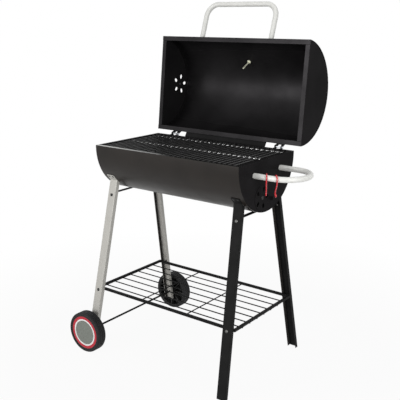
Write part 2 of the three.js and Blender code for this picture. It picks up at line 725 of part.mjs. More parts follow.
function spread(count, pitch) {
  return Array.from({ length: count }, (_, i) => (i - (count - 1) / 2) * pitch);
}

function cookingGrate() {
  const wireCount = Math.floor((2 * GRATE_HALF_X) / GRATE_PITCH);
  const wires = spread(wireCount, GRATE_PITCH).map((x) => bar(
    new THREE.Vector3(x, -GRATE_HALF_Y, GRATE_WIRE_Z), new THREE.Vector3(x, GRATE_HALF_Y, GRATE_WIRE_Z),
    GRATE_WIRE_RADIUS, 6));
  const rods = GRATE_ROD_PLACES.map((y) => bar(
    new THREE.Vector3(-GRATE_HALF_X, y, GRATE_ROD_Z), new THREE.Vector3(GRATE_HALF_X, y, GRATE_ROD_Z),
    GRATE_ROD_RADIUS, 6));
  return join(...rods, ...wires);
}
addMesh(part, "cooking_grate", cookingGrate(), blackSteel);

// The charcoal grate is a slotted sheet across the bowl's curve, its long edges turned down.
function charcoalGrate() {
  const top = BOWL_BOTTOM + CHARCOAL_RISE;
  const foot = top - CHARCOAL_FLANGE;
  const halfY = Math.sqrt((BOWL_INNER_RADIUS - SEAT_GAP) ** 2 - (BOWL_AXIS_Z - foot) ** 2);
  const halfX = BOWL_END_X - END_SHEET - END_FLANGE - CHARCOAL_END_GAP;
  const sheet = top - CHARCOAL_SHEET;
  const tray = cut(
    box(-halfX, halfX, -halfY, halfY, foot, top),
    box(-halfX - 1, halfX + 1, -halfY + CHARCOAL_SHEET, halfY - CHARCOAL_SHEET, foot - 1, sheet));
  const slotHalf = halfY - CHARCOAL_FLANGE;
  const slotCount = Math.floor((2 * halfX - CHARCOAL_SLOT) / CHARCOAL_SLOT_PITCH);
  const slots = spread(slotCount, CHARCOAL_SLOT_PITCH).map((x) => box(
    x - CHARCOAL_SLOT / 2, x + CHARCOAL_SLOT / 2, -slotHalf, slotHalf, sheet - 1, top + 1));
  return cut(tray, ...slots);
}
addMesh(part, "charcoal_grate", charcoalGrate(), blackSteel);

// ---- Legs, braces and their bolts ------------------------------------------

// A leg's own frame: origin on the floor under the outer face of its web, z up along the
// leg, y outwards through the web.
function legFrame(sideSign, depthSign) {
  const up = new THREE.Vector3(-sideSign * LEG_SPLAY, -depthSign * LEG_LEAN, 1).normalize();
  const outwards = new THREE.Vector3(0, depthSign, LEG_LEAN).normalize();
  const across = outwards.clone().cross(up).normalize();
  const frame = new THREE.Matrix4().makeBasis(across, outwards, up);
  return frame.setPosition(sideSign * LEG_FOOT_X, depthSign * LEG_FOOT_Y, 0);
}

const legCentreX = (sideSign, z) => sideSign * (LEG_FOOT_X - LEG_SPLAY * z);
const AXLE_X = legCentreX(-1, WHEEL_RADIUS);

const drumCutter = alongX(
  arc(0, BOWL_AXIS_Z, BOWL_RADIUS + SEAT_GAP, 0, 360, 2 * DRUM_STEPS).slice(0, 2 * DRUM_STEPS),
  -LID_LENGTH, LID_LENGTH);

const BRACE_TOP = BOWL_BOTTOM - SEAT_GAP;
const BRACE_BOLT_Z = BRACE_TOP - BRACE_TAB / 2;
const SHELF_BOLT_Z = SHELF_TOP - SHELF_BAR / 2;

// The height along a leg's own z at which its web passes the height z.
const alongLeg = (z) => z * Math.hypot(LEG_SPLAY, LEG_LEAN, 1);

// Where the middle of a leg's web meets the drum, in degrees up from the bottom of the drum.
function legMeetsDrum() {
  const reach = BOWL_RADIUS + SEAT_GAP + LEG_SHEET;
  const a = 1 + LEG_LEAN ** 2;
  const b = -2 * (LEG_FOOT_Y * LEG_LEAN + BOWL_AXIS_Z);
  const c = LEG_FOOT_Y ** 2 + BOWL_AXIS_Z ** 2 - reach ** 2;
  const z = (-b - Math.sqrt(b * b - 4 * a * c)) / (2 * a);
  return { z, angle: Math.atan2(LEG_FOOT_Y - LEG_LEAN * z, BOWL_AXIS_Z - z) / DEGREE };
}

function leg(sideSign, depthSign) {
  const half = LEG_WIDTH / 2;
  const innerHalf = half - LEG_SHEET;
  const channel = [
    at(-half, 0), at(-half, -LEG_FLANGE), at(-innerHalf, -LEG_FLANGE), at(-innerHalf, -LEG_SHEET),
    at(innerHalf, -LEG_SHEET), at(innerHalf, -LEG_FLANGE), at(half, -LEG_FLANGE), at(half, 0),
  ];
  const meet = legMeetsDrum();
  const frame = legFrame(sideSign, depthSign);
  const length = alongLeg(meet.z) + LEG_FLANGE;
  const stick = solid(prism(channel, -LEG_WIDTH, length).applyMatrix4(frame));
  const lowest = sideSign < 0 ? WHEELED_LEG_END : 0;
  const foot = box(-LID_LENGTH, LID_LENGTH, -LID_LENGTH, LID_LENGTH, -4 * LEG_WIDTH, lowest);
  // The bolted tab follows the drum upwards from the top of the web.
  const inner = BOWL_RADIUS + SEAT_GAP;
  const start = meet.angle - 1;
  const side = (angle) => (depthSign < 0 ? 270 - angle : 270 + angle);
  const tabFrom = side(start);
  const tabTo = side(meet.angle + LEG_TAB_ARC);
  const outline = [
    ...arc(0, BOWL_AXIS_Z, inner + LEG_SHEET, tabFrom, tabTo, 4),
    ...arc(0, BOWL_AXIS_Z, inner, tabTo, tabFrom, 4),
  ];
  if (depthSign < 0) outline.reverse();
  const centre = legCentreX(sideSign, meet.z);
  const tab = alongX(outline, centre - half, centre + half);
  const holes = [BRACE_BOLT_Z, SHELF_BOLT_Z].map((z) => solid(
    rod(LEG_BOLT_RADIUS + PIN_GAP, -LEG_SHEET - 1, 1, 12).rotateX(-Math.PI / 2)
      .translate(0, 0, alongLeg(z)).applyMatrix4(frame)));
  const body = cut(stick, drumCutter, foot).add(tab);
  if (sideSign > 0) return cut(body, ...holes);
  const axleHole = bar(
    new THREE.Vector3(AXLE_X, -LEG_FOOT_Y, WHEEL_RADIUS), new THREE.Vector3(AXLE_X, LEG_FOOT_Y, WHEEL_RADIUS),
    AXLE_RADIUS + PIN_GAP, 16);
  return cut(body, ...holes, axleHole);
}

// A bolt through a leg's web at height z, its head on the outer face.
function legBolt(sideSign, depthSign, z, length, spare) {
  return screw(LEG_BOLT_RADIUS + spare, length + spare, LEG_BOLT_HEAD_RADIUS, LEG_BOLT_HEAD)
    .rotateX(Math.PI / 2)
    .translate(0, SEAT_GAP, alongLeg(z))
    .applyMatrix4(legFrame(sideSign, depthSign));
}

// A strap under the bowl from the front leg to the back leg, its ends folded down against the webs.
function brace(sideSign) {
  const webInner = (z) => LEG_FOOT_Y - LEG_LEAN * z - (LEG_SHEET + SEAT_GAP) * Math.hypot(LEG_LEAN, 1);
  const thick = BRACE_SHEET * Math.hypot(LEG_LEAN, 1);
  const foot = BRACE_TOP - BRACE_TAB;
  const under = BRACE_TOP - BRACE_SHEET;
  const outline = [
    at(-webInner(BRACE_TOP), BRACE_TOP),
    at(-webInner(foot), foot),
    at(-webInner(foot) + thick, foot),
    at(-webInner(under) + thick, under),
    at(webInner(under) - thick, under),
    at(webInner(foot) - thick, foot),
    at(webInner(foot), foot),
    at(webInner(BRACE_TOP), BRACE_TOP),
  ];
  const centre = legCentreX(sideSign, BRACE_BOLT_Z);
  const strap = alongX(outline, centre - BRACE_WIDTH / 2, centre + BRACE_WIDTH / 2);
  const holes = DEPTHS.map(([, depthSign]) => solid(
    rod(LEG_BOLT_RADIUS + PIN_GAP, -LEG_FLANGE, 0, 12).rotateX(-Math.PI / 2)
      .translate(0, 0, alongLeg(BRACE_BOLT_Z)).applyMatrix4(legFrame(sideSign, depthSign))));
  return cut(strap, ...holes);
}

const SHELF_BOLT_REACH = LEG_FOOT_Y - LEG_LEAN * SHELF_BOLT_Z - SHELF_HALF_Y; // from the web to the bar
const SHELF_BOLT_LENGTH = SHELF_BOLT_REACH * Math.hypot(LEG_LEAN, 1) + SHELF_BOLT_GRIP;
const BRACE_BOLT_LENGTH = LEG_SHEET + BRACE_SHEET + 5 * SEAT_GAP + LEG_BOLT_HEAD;

for (const [sideName, sideSign] of SIDES) {
  const paint = sideSign < 0 ? silverPaint : blackPaint;
  addMesh(part, "brace_" + sideName, brace(sideSign), blackPaint);
  for (const [depthName, depthSign] of DEPTHS) {
    const corner = depthName + "_" + sideName;
    addMesh(part, "leg_" + corner, leg(sideSign, depthSign), paint);
    addMesh(part, "brace_bolt_" + corner,
      legBolt(sideSign, depthSign, BRACE_BOLT_Z, BRACE_BOLT_LENGTH, 0), blackSteel);
    addMesh(part, "shelf_bolt_" + corner,
      legBolt(sideSign, depthSign, SHELF_BOLT_Z, SHELF_BOLT_LENGTH, 0), blackSteel);
  }
}

// ---- Lower shelf -----------------------------------------------------------

function lowerShelf() {
  const [halfX, halfY] = [SHELF_LENGTH / 2, SHELF_HALF_Y];
  const underside = SHELF_TOP - SHELF_BAR;
  const outer = box(-halfX, halfX, -halfY, halfY, underside, SHELF_TOP);
  const [innerX, innerY] = [halfX - SHELF_BAR, halfY - SHELF_BAR];
  const inner = box(-innerX, innerX, -innerY, innerY, underside - 1, SHELF_TOP + 1);
  // The long wires are welded under the frame, the cross wires lie on them inside it.
  const longZ = underside - SHELF_WIRE_RADIUS + WELD_SINK;
  const crossZ = longZ + 2 * SHELF_WIRE_RADIUS - WELD_SINK;
  const longWires = spread(Math.floor((2 * innerY) / SHELF_LONG_PITCH), SHELF_LONG_PITCH).map((y) => bar(
    new THREE.Vector3(-halfX + 1, y, longZ), new THREE.Vector3(halfX - 1, y, longZ), SHELF_WIRE_RADIUS, 6));
  const crossReach = halfY - SHELF_BAR / 2;
  const crossWires = spread(Math.floor((2 * innerX) / SHELF_CROSS_PITCH), SHELF_CROSS_PITCH).map((x) => bar(
    new THREE.Vector3(x, -crossReach, crossZ), new THREE.Vector3(x, crossReach, crossZ),
    SHELF_WIRE_RADIUS, 6));
  const boltHoles = SIDES.flatMap(([, sideSign]) => DEPTHS.map(([, depthSign]) => solid(
    legBolt(sideSign, depthSign, SHELF_BOLT_Z, SHELF_BOLT_LENGTH, PIN_GAP))));
  return cut(join(cut(outer, inner), ...longWires, ...crossWires), ...boltHoles);
}
addMesh(part, "lower_shelf", lowerShelf(), blackPaint);

// ---- Axle and wheels -------------------------------------------------------

const HUB_OUTER_REACH = WHEEL_WIDTH / 2 - HUB_RECESS; // where the hub ends, under the hub cap
const AXLE_HALF = WHEEL_MID_Y + HUB_OUTER_REACH + SEAT_GAP + AXLE_CAP - AXLE_CAP_SHEET;

addMesh(part, "axle", bar(
  new THREE.Vector3(AXLE_X, -AXLE_HALF, WHEEL_RADIUS), new THREE.Vector3(AXLE_X, AXLE_HALF, WHEEL_RADIUS),
  AXLE_RADIUS, 16), blackSteel);

// Everything of a wheel is turned about +Z, which points outboard, from its middle plane.
const WHEEL_SIDES = 28;

function tyreShape() {
  const half = WHEEL_WIDTH / 2;
  const shoulder = TYRE_SHOULDER;
  const tread = [];
  const land = (2 * (half - shoulder)) / (2 * TYRE_GROOVES + 1);
  for (let i = 0; i < TYRE_GROOVES; i++) {
    const start = -half + shoulder + land * (2 * i + 1);
    tread.push([WHEEL_RADIUS, start], [WHEEL_RADIUS - TYRE_GROOVE_DEPTH, start + land / 2],
      [WHEEL_RADIUS, start + land]);
  }
  const inner = WHEEL_INNER_RADIUS;
  return turned([
    [inner, -half + TYRE_BEAD],
    [inner + TYRE_BEAD, -half],
    [WHEEL_RADIUS - shoulder, -half],
    [WHEEL_RADIUS, -half + shoulder],
    ...tread,
    [WHEEL_RADIUS, half - shoulder],
    [WHEEL_RADIUS - shoulder, half],
    [inner + TYRE_BEAD, half],
    [inner, half - TYRE_BEAD],
    [inner, -half + TYRE_BEAD],
  ], WHEEL_SIDES);
}

function rimShape() {
  const barrelHalf = WHEEL_WIDTH / 2 - RIM_INSET;
  const barrelInner = RIM_OUTER_RADIUS - RIM_WALL;
  const barrel = solid(ring(barrelInner, RIM_OUTER_RADIUS, -barrelHalf, barrelHalf, WHEEL_SIDES));
  const hub = solid(rod(HUB_RADIUS, -HUB_INNER_REACH, HUB_OUTER_REACH, 20));
  const web = solid(rod(barrelInner + RIM_WALL / 2, HUB_OUTER_REACH - RIM_WEB, HUB_OUTER_REACH, WHEEL_SIDES));
  const ribs = [];
  for (let i = 0; i < RIM_RIBS; i++) {
    const rib = boxGeometry(
      HUB_RADIUS / 2, barrelInner + RIM_RIB_SINK, -RIM_RIB_THICKNESS / 2, RIM_RIB_THICKNESS / 2,
      RIM_RIB_INSET - barrelHalf, HUB_OUTER_REACH - RIM_RIB_SINK);
    ribs.push(solid(rib.rotateZ((2 * Math.PI * i) / RIM_RIBS)));
  }
  const bore = solid(rod(AXLE_RADIUS + PIN_GAP, -HUB_INNER_REACH - 1, HUB_OUTER_REACH + 1, 16));
  return cut(join(barrel, hub, web, ...ribs), bore);
}

function axleCapShape() {
  const base = HUB_OUTER_REACH + SEAT_GAP;
  const cap = solid(turned([
    [0, base], [AXLE_CAP_RADIUS, base], [AXLE_CAP_RADIUS, base + AXLE_CAP * 0.5],
    [AXLE_CAP_RADIUS * 0.7, base + AXLE_CAP], [0, base + AXLE_CAP],
  ], 12));
  const socketTop = AXLE_HALF - WHEEL_MID_Y + SEAT_GAP;
  return cut(cap, solid(rod(AXLE_RADIUS + PIN_GAP, base - 1, socketTop, 12)));
}

function hubCapShape() {
  const base = HUB_OUTER_REACH + SEAT_GAP;
  const cavity = base + AXLE_CAP + SEAT_GAP;
  const cavityRadius = AXLE_CAP_RADIUS + 1.5;
  const top = base + TRIM_THICKNESS;
  return turned([
    [0, cavity],
    [cavityRadius, cavity],
    [cavityRadius, base],
    [CAP_RADIUS, base],
    [CAP_RADIUS, top],
    [CAP_RADIUS * 0.8, base + CAP_DOME * 0.9],
    [CAP_RADIUS * 0.45, base + CAP_DOME + 1.4],
    [0, base + CAP_DOME + 2],
  ], WHEEL_SIDES);
}

function trimRingShape() {
  const base = HUB_OUTER_REACH + SEAT_GAP;
  const outer = RIM_OUTER_RADIUS - RIM_WALL - SEAT_GAP;
  const inner = CAP_RADIUS + SEAT_GAP;
  const groove = inner + (outer - inner) * 0.46;
  const top = base + TRIM_THICKNESS;
  return turned([
    [inner, base], [outer, base], [outer, top - 1], [outer - 1.2, top], [groove + 1, top],
    [groove, top - 0.8], [groove - 1, top], [inner, top], [inner, base],
  ], WHEEL_SIDES);
}

for (const [name, sign] of DEPTHS) {
  const wheel = new THREE.Group();
  wheel.position.set(AXLE_X, sign * WHEEL_MID_Y, WHEEL_RADIUS);
  wheel.rotation.x = -sign * (Math.PI / 2);
  part.add(wheel);
  addMesh(wheel, "wheel_tyre_" + name, tyreShape(), blackRubber);
  addMesh(wheel, "wheel_rim_" + name, rimShape(), blackPlastic);
  addMesh(wheel, "wheel_cap_" + name, hubCapShape(), greyPlastic);
  addMesh(wheel, "wheel_trim_" + name, trimRingShape(), redPlastic);
  addMesh(wheel, "axle_cap_" + name, axleCapShape(), zincSteel);
}

// ---- Lid -------------------------------------------------------------------

// A point of the lid's outside at a bearing round the drum, and the direction outwards there.
function onLid(x, bearing, radius) {
  const out = new THREE.Vector3(0, -Math.cos(bearing * DEGREE), Math.sin(bearing * DEGREE));
  return { out, point: new THREE.Vector3(x, 0, LID_AXIS_Z).addScaledVector(out, radius) };
}

const thermometerSeat = onLid(0, THERMOMETER_BEARING, LID_RADIUS);
const handleDirection = new THREE.Vector3(
  0, -Math.cos(LID_HANDLE_BEARING * DEGREE), Math.sin(LID_HANDLE_BEARING * DEGREE));

const lidHandleFeet = SIDES.map(([name, sign]) => [name, (sign * LID_HANDLE_SPACING) / 2]);
const handleSpot = (x, reach) => new THREE.Vector3(x, 0, LID_AXIS_Z).addScaledVector(handleDirection, reach);

function lidShell() {
  const section = shellSection(lidWall, LID_CHORD / 2, 0, LID_LIP, 1, LID_SHEET);
  const stemHole = screwHole(
    thermometerSeat.point.clone().addScaledVector(thermometerSeat.out, -4 * LID_SHEET),
    thermometerSeat.point.clone().addScaledVector(thermometerSeat.out, 2),
    THERMOMETER_STEM_RADIUS);
  const screwHoles = lidHandleFeet.map(([, x]) => screwHole(
    handleSpot(x, LID_RADIUS - 4 * LID_SHEET), handleSpot(x, LID_RADIUS + 2), HANDLE_SCREW_RADIUS));
  return cut(alongX(section, -LID_LENGTH / 2, LID_LENGTH / 2), stemHole, ...screwHoles);
}
addMesh(lid, "lid_shell", lidShell(), blackEnamel);
addMesh(lid, "lid_end_left", cut(
  lidEnd(-1), ventCut(LID_VENT, -LID_END_X - 1, -LID_END_X + 2 * END_SHEET)), blackEnamel);
addMesh(lid, "lid_end_right", lidEnd(1), blackEnamel);
addMesh(lid, "lid_vent_disc", ventDisc(LID_VENT, -LID_END_X, -1), blackEnamel);
addMesh(lid, "lid_vent_rivet", ventRivet(LID_VENT, -LID_END_X, -1), zincSteel);

// The lid's handle: a bent tube whose feet are shaped to the drum they stand on.
function lidHandle() {
  const start = LID_RADIUS - TUBE_RADIUS;
  const half = LID_HANDLE_SPACING / 2;
  const corners = [
    handleSpot(-half, start), handleSpot(-half, LID_HANDLE_REACH),
    handleSpot(half, LID_HANDLE_REACH), handleSpot(half, start),
  ];
  const path = new RoundedPath(corners, LID_HANDLE_BEND, 6);
  const tube = solid(wireAlong(path, TUBE_RADIUS, path.steps, 14));
  const drum = alongX(
    arc(0, LID_AXIS_Z, LID_RADIUS + SEAT_GAP, 0, 360, 2 * DRUM_STEPS).slice(0, 2 * DRUM_STEPS),
    -LID_LENGTH, LID_LENGTH);
  const holes = lidHandleFeet.map(([, x]) => screwHole(
    handleSpot(x, start), handleSpot(x, LID_RADIUS + HANDLE_SCREW_DEPTH + 1), HANDLE_SCREW_RADIUS));
  return cut(tube, drum, ...holes);
}
addMesh(lid, "lid_handle", lidHandle(), palePaint);
for (const [name, x] of lidHandleFeet) {
  const seat = LID_RADIUS - LID_SHEET - 2 * SEAT_GAP;
  const length = LID_RADIUS + HANDLE_SCREW_DEPTH - seat;
  const shape = screw(HANDLE_SCREW_RADIUS, length, HANDLE_SCREW_HEAD_RADIUS, HANDLE_SCREW_HEAD);
  addMesh(lid, "lid_handle_screw_" + name, place(shape, handleSpot(x, seat), handleDirection), zincSteel);
}

// ---- Thermometer -----------------------------------------------------------

// The thermometer is turned about its stem, +Z outwards from the lid's outer face.
const thermometer = new THREE.Group();
thermometer.position.copy(thermometerSeat.point);
thermometer.quaternion.setFromUnitVectors(new THREE.Vector3(0, 0, 1), thermometerSeat.out);
lid.add(thermometer);

const CASE_FLOOR = SEAT_GAP + THERMOMETER_NECK + THERMOMETER_WALL;
const CASE_TOP = SEAT_GAP + THERMOMETER_NECK + THERMOMETER_DEPTH;
const LENS_TOP = CASE_TOP - THERMOMETER_WALL - SEAT_GAP;
const DIAL_Z = CASE_FLOOR + SEAT_GAP;
const NEEDLE_Z = DIAL_Z + THERMOMETER_DIAL + SEAT_GAP;
const CASE_INNER = THERMOMETER_RADIUS - THERMOMETER_WALL;

addMesh(thermometer, "thermometer_case", turned([
  [0, -THERMOMETER_STEM],
  [THERMOMETER_STEM_RADIUS * 0.6, -THERMOMETER_STEM],
  [THERMOMETER_STEM_RADIUS, -THERMOMETER_STEM + 3],
  [THERMOMETER_STEM_RADIUS, SEAT_GAP],
  [THERMOMETER_NECK_RADIUS, SEAT_GAP],
  [THERMOMETER_NECK_RADIUS, SEAT_GAP + THERMOMETER_NECK],
  [THERMOMETER_RADIUS - 2, SEAT_GAP + THERMOMETER_NECK],
  [THERMOMETER_RADIUS, SEAT_GAP + THERMOMETER_NECK + 2],
  [THERMOMETER_RADIUS, CASE_TOP - 1.5],
  [THERMOMETER_RADIUS - 1.5, CASE_TOP],
  [CASE_INNER - 1.5, CASE_TOP],
  [CASE_INNER - 3, CASE_TOP - THERMOMETER_WALL],
  [CASE_INNER, CASE_TOP - THERMOMETER_WALL],
  [CASE_INNER, CASE_FLOOR],
  [0, CASE_FLOOR],
], 20), zincSteel);
const DISC_RADIUS = CASE_INNER - SEAT_GAP;
addMesh(thermometer, "thermometer_dial", rod(DISC_RADIUS, DIAL_Z, DIAL_Z + THERMOMETER_DIAL, 24), whiteCard);
const LENS_FOOT = LENS_TOP - THERMOMETER_LENS;
addMesh(thermometer, "thermometer_lens", rod(DISC_RADIUS, LENS_FOOT, LENS_TOP, 24), clearGlass);

// The pointer turns on the dial's centre: a boss, a tapered blade and a short tail.
function needleShape() {
  const [tail, reach] = [-NEEDLE_TAIL, CASE_INNER - NEEDLE_RIM_GAP];
  const [wide, narrow] = [NEEDLE_WIDTH / 2, NEEDLE_TIP_WIDTH / 2];
  const outline = [at(tail, -wide), at(reach, -narrow), at(reach, narrow), at(tail, wide)];
  const blade = solid(prism(outline, NEEDLE_Z, NEEDLE_Z + NEEDLE_THICKNESS));
  const boss = solid(rod(NEEDLE_BOSS_RADIUS, NEEDLE_Z, NEEDLE_Z + 2 * NEEDLE_THICKNESS, 12));
  return blade.add(boss);
}
addMesh(thermometer, "thermometer_needle", needleShape(), redPaint);

function thermometerNut() {
  const top = -LID_SHEET - 2 * SEAT_GAP;
  const hexagon = solid(rod(THERMOMETER_NUT_RADIUS, top - THERMOMETER_NUT, top, 6));
  const bore = solid(rod(THERMOMETER_STEM_RADIUS + PIN_GAP, top - THERMOMETER_NUT - 1, top + 1, 16));
  return cut(hexagon, bore);
}
addMesh(thermometer, "thermometer_nut", thermometerNut(), zincSteel);

// ---- Hinges ----------------------------------------------------------------

// An eye joined to a base line by straight sides, in the Y-Z plane. The base runs from low
// to high on the side of the eye that the sign gives.
function earOutline(eyeY, eyeZ, eyeRadius, low, high) {
  return [low, ...arc(eyeY, eyeZ, eyeRadius, -100, 195, 10), high];
}

const STRAP_HALF = HINGE_STRAP_WIDTH / 2;
const BRACKET_HALF = STRAP_HALF + SEAT_GAP + HINGE_SHEET;

// The bore for a hinge's pin, at height z.
function hingeBore(x, z) {
  const start = new THREE.Vector3(x - 2 * BRACKET_HALF, HINGE_Y, z);
  const end = new THREE.Vector3(x + 2 * BRACKET_HALF, HINGE_Y, z);
  return bar(start, end, HINGE_PIN_RADIUS + PIN_GAP, 12);
}

// A clevis on the bowl's back: a plate on the drum and an ear each side of the lid's strap.
function hingeBracket(x) {
  const wallY = BOWL_RADIUS + SEAT_GAP;
  const top = BOWL_RIM_HEIGHT - 2 * SEAT_GAP;
  const foot = BOWL_RIM_HEIGHT - HINGE_BRACKET_DROP;
  const plate = box(x - BRACKET_HALF, x + BRACKET_HALF, wallY, wallY + HINGE_SHEET, foot, top);
  const outline = earOutline(HINGE_Y, HINGE_Z, HINGE_EYE_RADIUS, at(wallY, foot), at(wallY, top));
  const ears = [-1, 1].map((side) => {
    const edges = [x + side * (STRAP_HALF + SEAT_GAP), x + side * BRACKET_HALF].sort((a, b) => a - b);
    return alongX(outline, ...edges);
  });
  return cut(join(plate, ...ears), hingeBore(x, HINGE_Z));
}

// The strap on the lid: a plate lying on the drum behind the rear edge and two ears round the pin.
function hingeStrap(x) {
  const wallAt = (z) => Math.sqrt((LID_RADIUS + SEAT_GAP) ** 2 - (z - LID_AXIS_Z) ** 2);
  const low = HINGE_STRAP_START;
  const high = low + HINGE_STRAP_LENGTH;
  const middle = (low + high) / 2;
  const slope = Math.atan2(wallAt(low) - wallAt(high), high - low);
  // The flat plate touches the drum at the middle of its length.
  const plateAt = (z, out) => at(wallAt(middle) + (middle - z) * Math.tan(slope) + out / Math.cos(slope), z);
  const corners = [
    plateAt(low, 0), plateAt(low, HINGE_SHEET), plateAt(high, HINGE_SHEET), plateAt(high, 0),
  ];
  const plate = alongX(corners, x - STRAP_HALF, x + STRAP_HALF);
  const outline = [
    plateAt(low, HINGE_SHEET / 2),
    ...arc(HINGE_Y, HINGE_AXIS_ABOVE_LID, HINGE_EYE_RADIUS - 1, -120, 70, 8),
    plateAt(high, HINGE_SHEET / 2),
  ];
  const ears = [-1, 1].map((side) => {
    const edges = [x + side * (STRAP_HALF - HINGE_SHEET), x + side * STRAP_HALF].sort((a, b) => a - b);
    return alongX(outline, ...edges);
  });
  return cut(join(plate, ...ears), hingeBore(x, HINGE_AXIS_ABOVE_LID));
}

function hingePin(x) {
  const half = BRACKET_HALF + SEAT_GAP;
  const head = HINGE_PIN_HEAD;
  return turned([
    [0, -half - head], [HINGE_PIN_HEAD_RADIUS * 0.7, -half - head], [HINGE_PIN_HEAD_RADIUS, -half],
    [HINGE_PIN_RADIUS, -half], [HINGE_PIN_RADIUS, half], [HINGE_PIN_HEAD_RADIUS, half],
    [HINGE_PIN_HEAD_RADIUS * 0.7, half + head], [0, half + head],
  ], 12).rotateY(Math.PI / 2).translate(x, HINGE_Y, HINGE_Z);
}

for (const [name, sign] of SIDES) {
  const x = sign * HINGE_X;
  addMesh(part, "hinge_bracket_" + name, hingeBracket(x), blackPaint);
  addMesh(part, "hinge_pin_" + name, hingePin(x), zincSteel);
  addMesh(lid, "hinge_strap_" + name, hingeStrap(x), blackPaint);
}

// The stop behind the bowl on which the open lid leans: a strip on the drum's back that
// steps out under the hinge axis and rises to the lid's edge.
function lidStop() {
  const wallY = BOWL_RADIUS + SEAT_GAP;
  const t = LID_STOP_SHEET;
  const shelfZ = BOWL_RIM_HEIGHT - LID_STOP_BELOW_RIM;
  const kneeY = HINGE_Y - HINGE_EYE_RADIUS;
  const tip = at(HINGE_Y + LID_STOP_BEHIND_PIN, HINGE_Z + HINGE_BEHIND_LID - SEAT_GAP);
  const outline = [
    at(wallY, shelfZ),
    at(wallY, shelfZ - LID_STOP_DROP),
    at(wallY + t, shelfZ - LID_STOP_DROP),
    at(wallY + t, shelfZ - t),
    at(kneeY + t * 0.6, shelfZ - t),
    at(tip.x + t * 0.8, tip.y - t * 0.6),
    tip,
    at(kneeY, shelfZ),
  ];
  return alongX(outline, LID_STOP_INSET - HINGE_X, HINGE_X - LID_STOP_INSET);
}
addMesh(part, "lid_stop", lidStop(), blackPaint);

// ---- Origin ----------------------------------------------------------------

// The part's origin is on the floor in the middle of its overall box.
part.updateMatrixWorld(true);
const bounds = new THREE.Box3().setFromObject(part, true);
const middle = bounds.getCenter(new THREE.Vector3());
part.position.set(-middle.x, -middle.y, -bounds.min.z);
part.updateMatrixWorld(true);

export default part;
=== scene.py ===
"""Finished pieces, finishes and studio stage for the charcoal barrel barbecue.

The file is laid out as a Blender add-on and is run as a script: main() registers the
classes and calls each operator in order. Metres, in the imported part's own frame.
"""

import json
import math

import bmesh
import bpy
from mathutils import Matrix, Vector

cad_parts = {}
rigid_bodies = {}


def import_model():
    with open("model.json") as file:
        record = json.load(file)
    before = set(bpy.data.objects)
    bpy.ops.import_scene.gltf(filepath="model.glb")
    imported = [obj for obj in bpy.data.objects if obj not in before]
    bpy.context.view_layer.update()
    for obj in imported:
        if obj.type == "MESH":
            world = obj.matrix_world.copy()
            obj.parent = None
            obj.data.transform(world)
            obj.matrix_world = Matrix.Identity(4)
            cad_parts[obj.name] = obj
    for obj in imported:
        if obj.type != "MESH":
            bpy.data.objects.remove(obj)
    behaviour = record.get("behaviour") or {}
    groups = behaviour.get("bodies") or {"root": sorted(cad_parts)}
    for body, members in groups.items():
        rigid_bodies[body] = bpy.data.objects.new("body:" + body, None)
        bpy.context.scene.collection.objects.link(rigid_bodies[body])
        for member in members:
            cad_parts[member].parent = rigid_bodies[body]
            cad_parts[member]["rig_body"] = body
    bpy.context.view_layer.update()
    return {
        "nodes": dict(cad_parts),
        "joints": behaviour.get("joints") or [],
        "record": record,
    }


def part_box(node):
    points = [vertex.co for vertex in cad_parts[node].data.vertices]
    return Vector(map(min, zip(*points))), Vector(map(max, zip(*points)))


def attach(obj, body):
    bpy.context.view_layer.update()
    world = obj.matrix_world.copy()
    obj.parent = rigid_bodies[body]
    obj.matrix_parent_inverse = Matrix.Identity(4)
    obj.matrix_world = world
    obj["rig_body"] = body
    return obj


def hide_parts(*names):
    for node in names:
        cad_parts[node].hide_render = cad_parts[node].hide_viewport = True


bl_info = {
    "name": "Charcoal barrel barbecue",
    "version": (1, 0, 0),
    "blender": (4, 5, 0),
    "location": "3D Viewport > Sidebar > Barbecue",
    "description": "Builds the barbecue's finished pieces, finishes and studio stage",
    "category": "Object",
}

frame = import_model()

MM = 0.001
X = Vector((1, 0, 0))
Y = Vector((0, 1, 0))
Z = Vector((0, 0, 1))
JOINTS = {joint["name"]: joint for joint in frame["joints"]}
AIR = 0.4 * MM  # between two pieces that touch
DEPTHS = (("front", -1), ("back", 1))
SIDES = ("left", "right")


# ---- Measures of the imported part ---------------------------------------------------


def middle_of(node):
    """The middle of a node's box."""
    low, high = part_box(node)
    return (low + high) / 2


def points_of(node):
    return [vertex.co for vertex in frame["nodes"][node].data.vertices]


def reach(node, origin, direction):
    """How far a node goes along a direction from a point: (least, most)."""
    along = [(point - origin).dot(direction) for point in points_of(node)]
    return min(along), max(along)


def tip_of(node, direction):
    """The middle of the end of a node that lies furthest in a direction."""
    furthest = reach(node, Vector(), direction)[1]
    end = [point for point in points_of(node) if point.dot(direction) > furthest - 0.05 * MM]
    return sum(end, Vector()) / len(end)


def flat_normal(node, towards):
    """The normal of a node's largest flat face among those that look towards a direction."""
    areas = {}
    for face in frame["nodes"][node].data.polygons:
        if face.normal.dot(towards) > 0.5:
            key = tuple(round(value, 3) for value in face.normal)
            areas[key] = areas.get(key, 0) + face.area
    return Vector(max(areas, key=areas.get)).normalized()


def frame_at(origin, up, side=X):
    """A matrix with its Z along up and its X as near to side as it can be."""
    z = up.normalized()
    x = (side - z * side.dot(z)).normalized()
    return Matrix.Translation(origin) @ Matrix((x, z.cross(x), z)).transposed().to_4x4()


# ---- Settings ----------------------------------------------------------------------


def linear(hex_colour):
    """The linear colour of an sRGB hex value such as "c8c5c0"."""
    shares = [int(hex_colour[i : i + 2], 16) / 255 for i in (0, 2, 4)]
    return tuple(c / 12.92 if c <= 0.04045 else ((c + 0.055) / 1.055) ** 2.4 for c in shares)


def colour(name, hex_colour, description):
    return bpy.props.FloatVectorProperty(
        name=name, description=description, default=linear(hex_colour), subtype="COLOR", min=0, max=1
    )


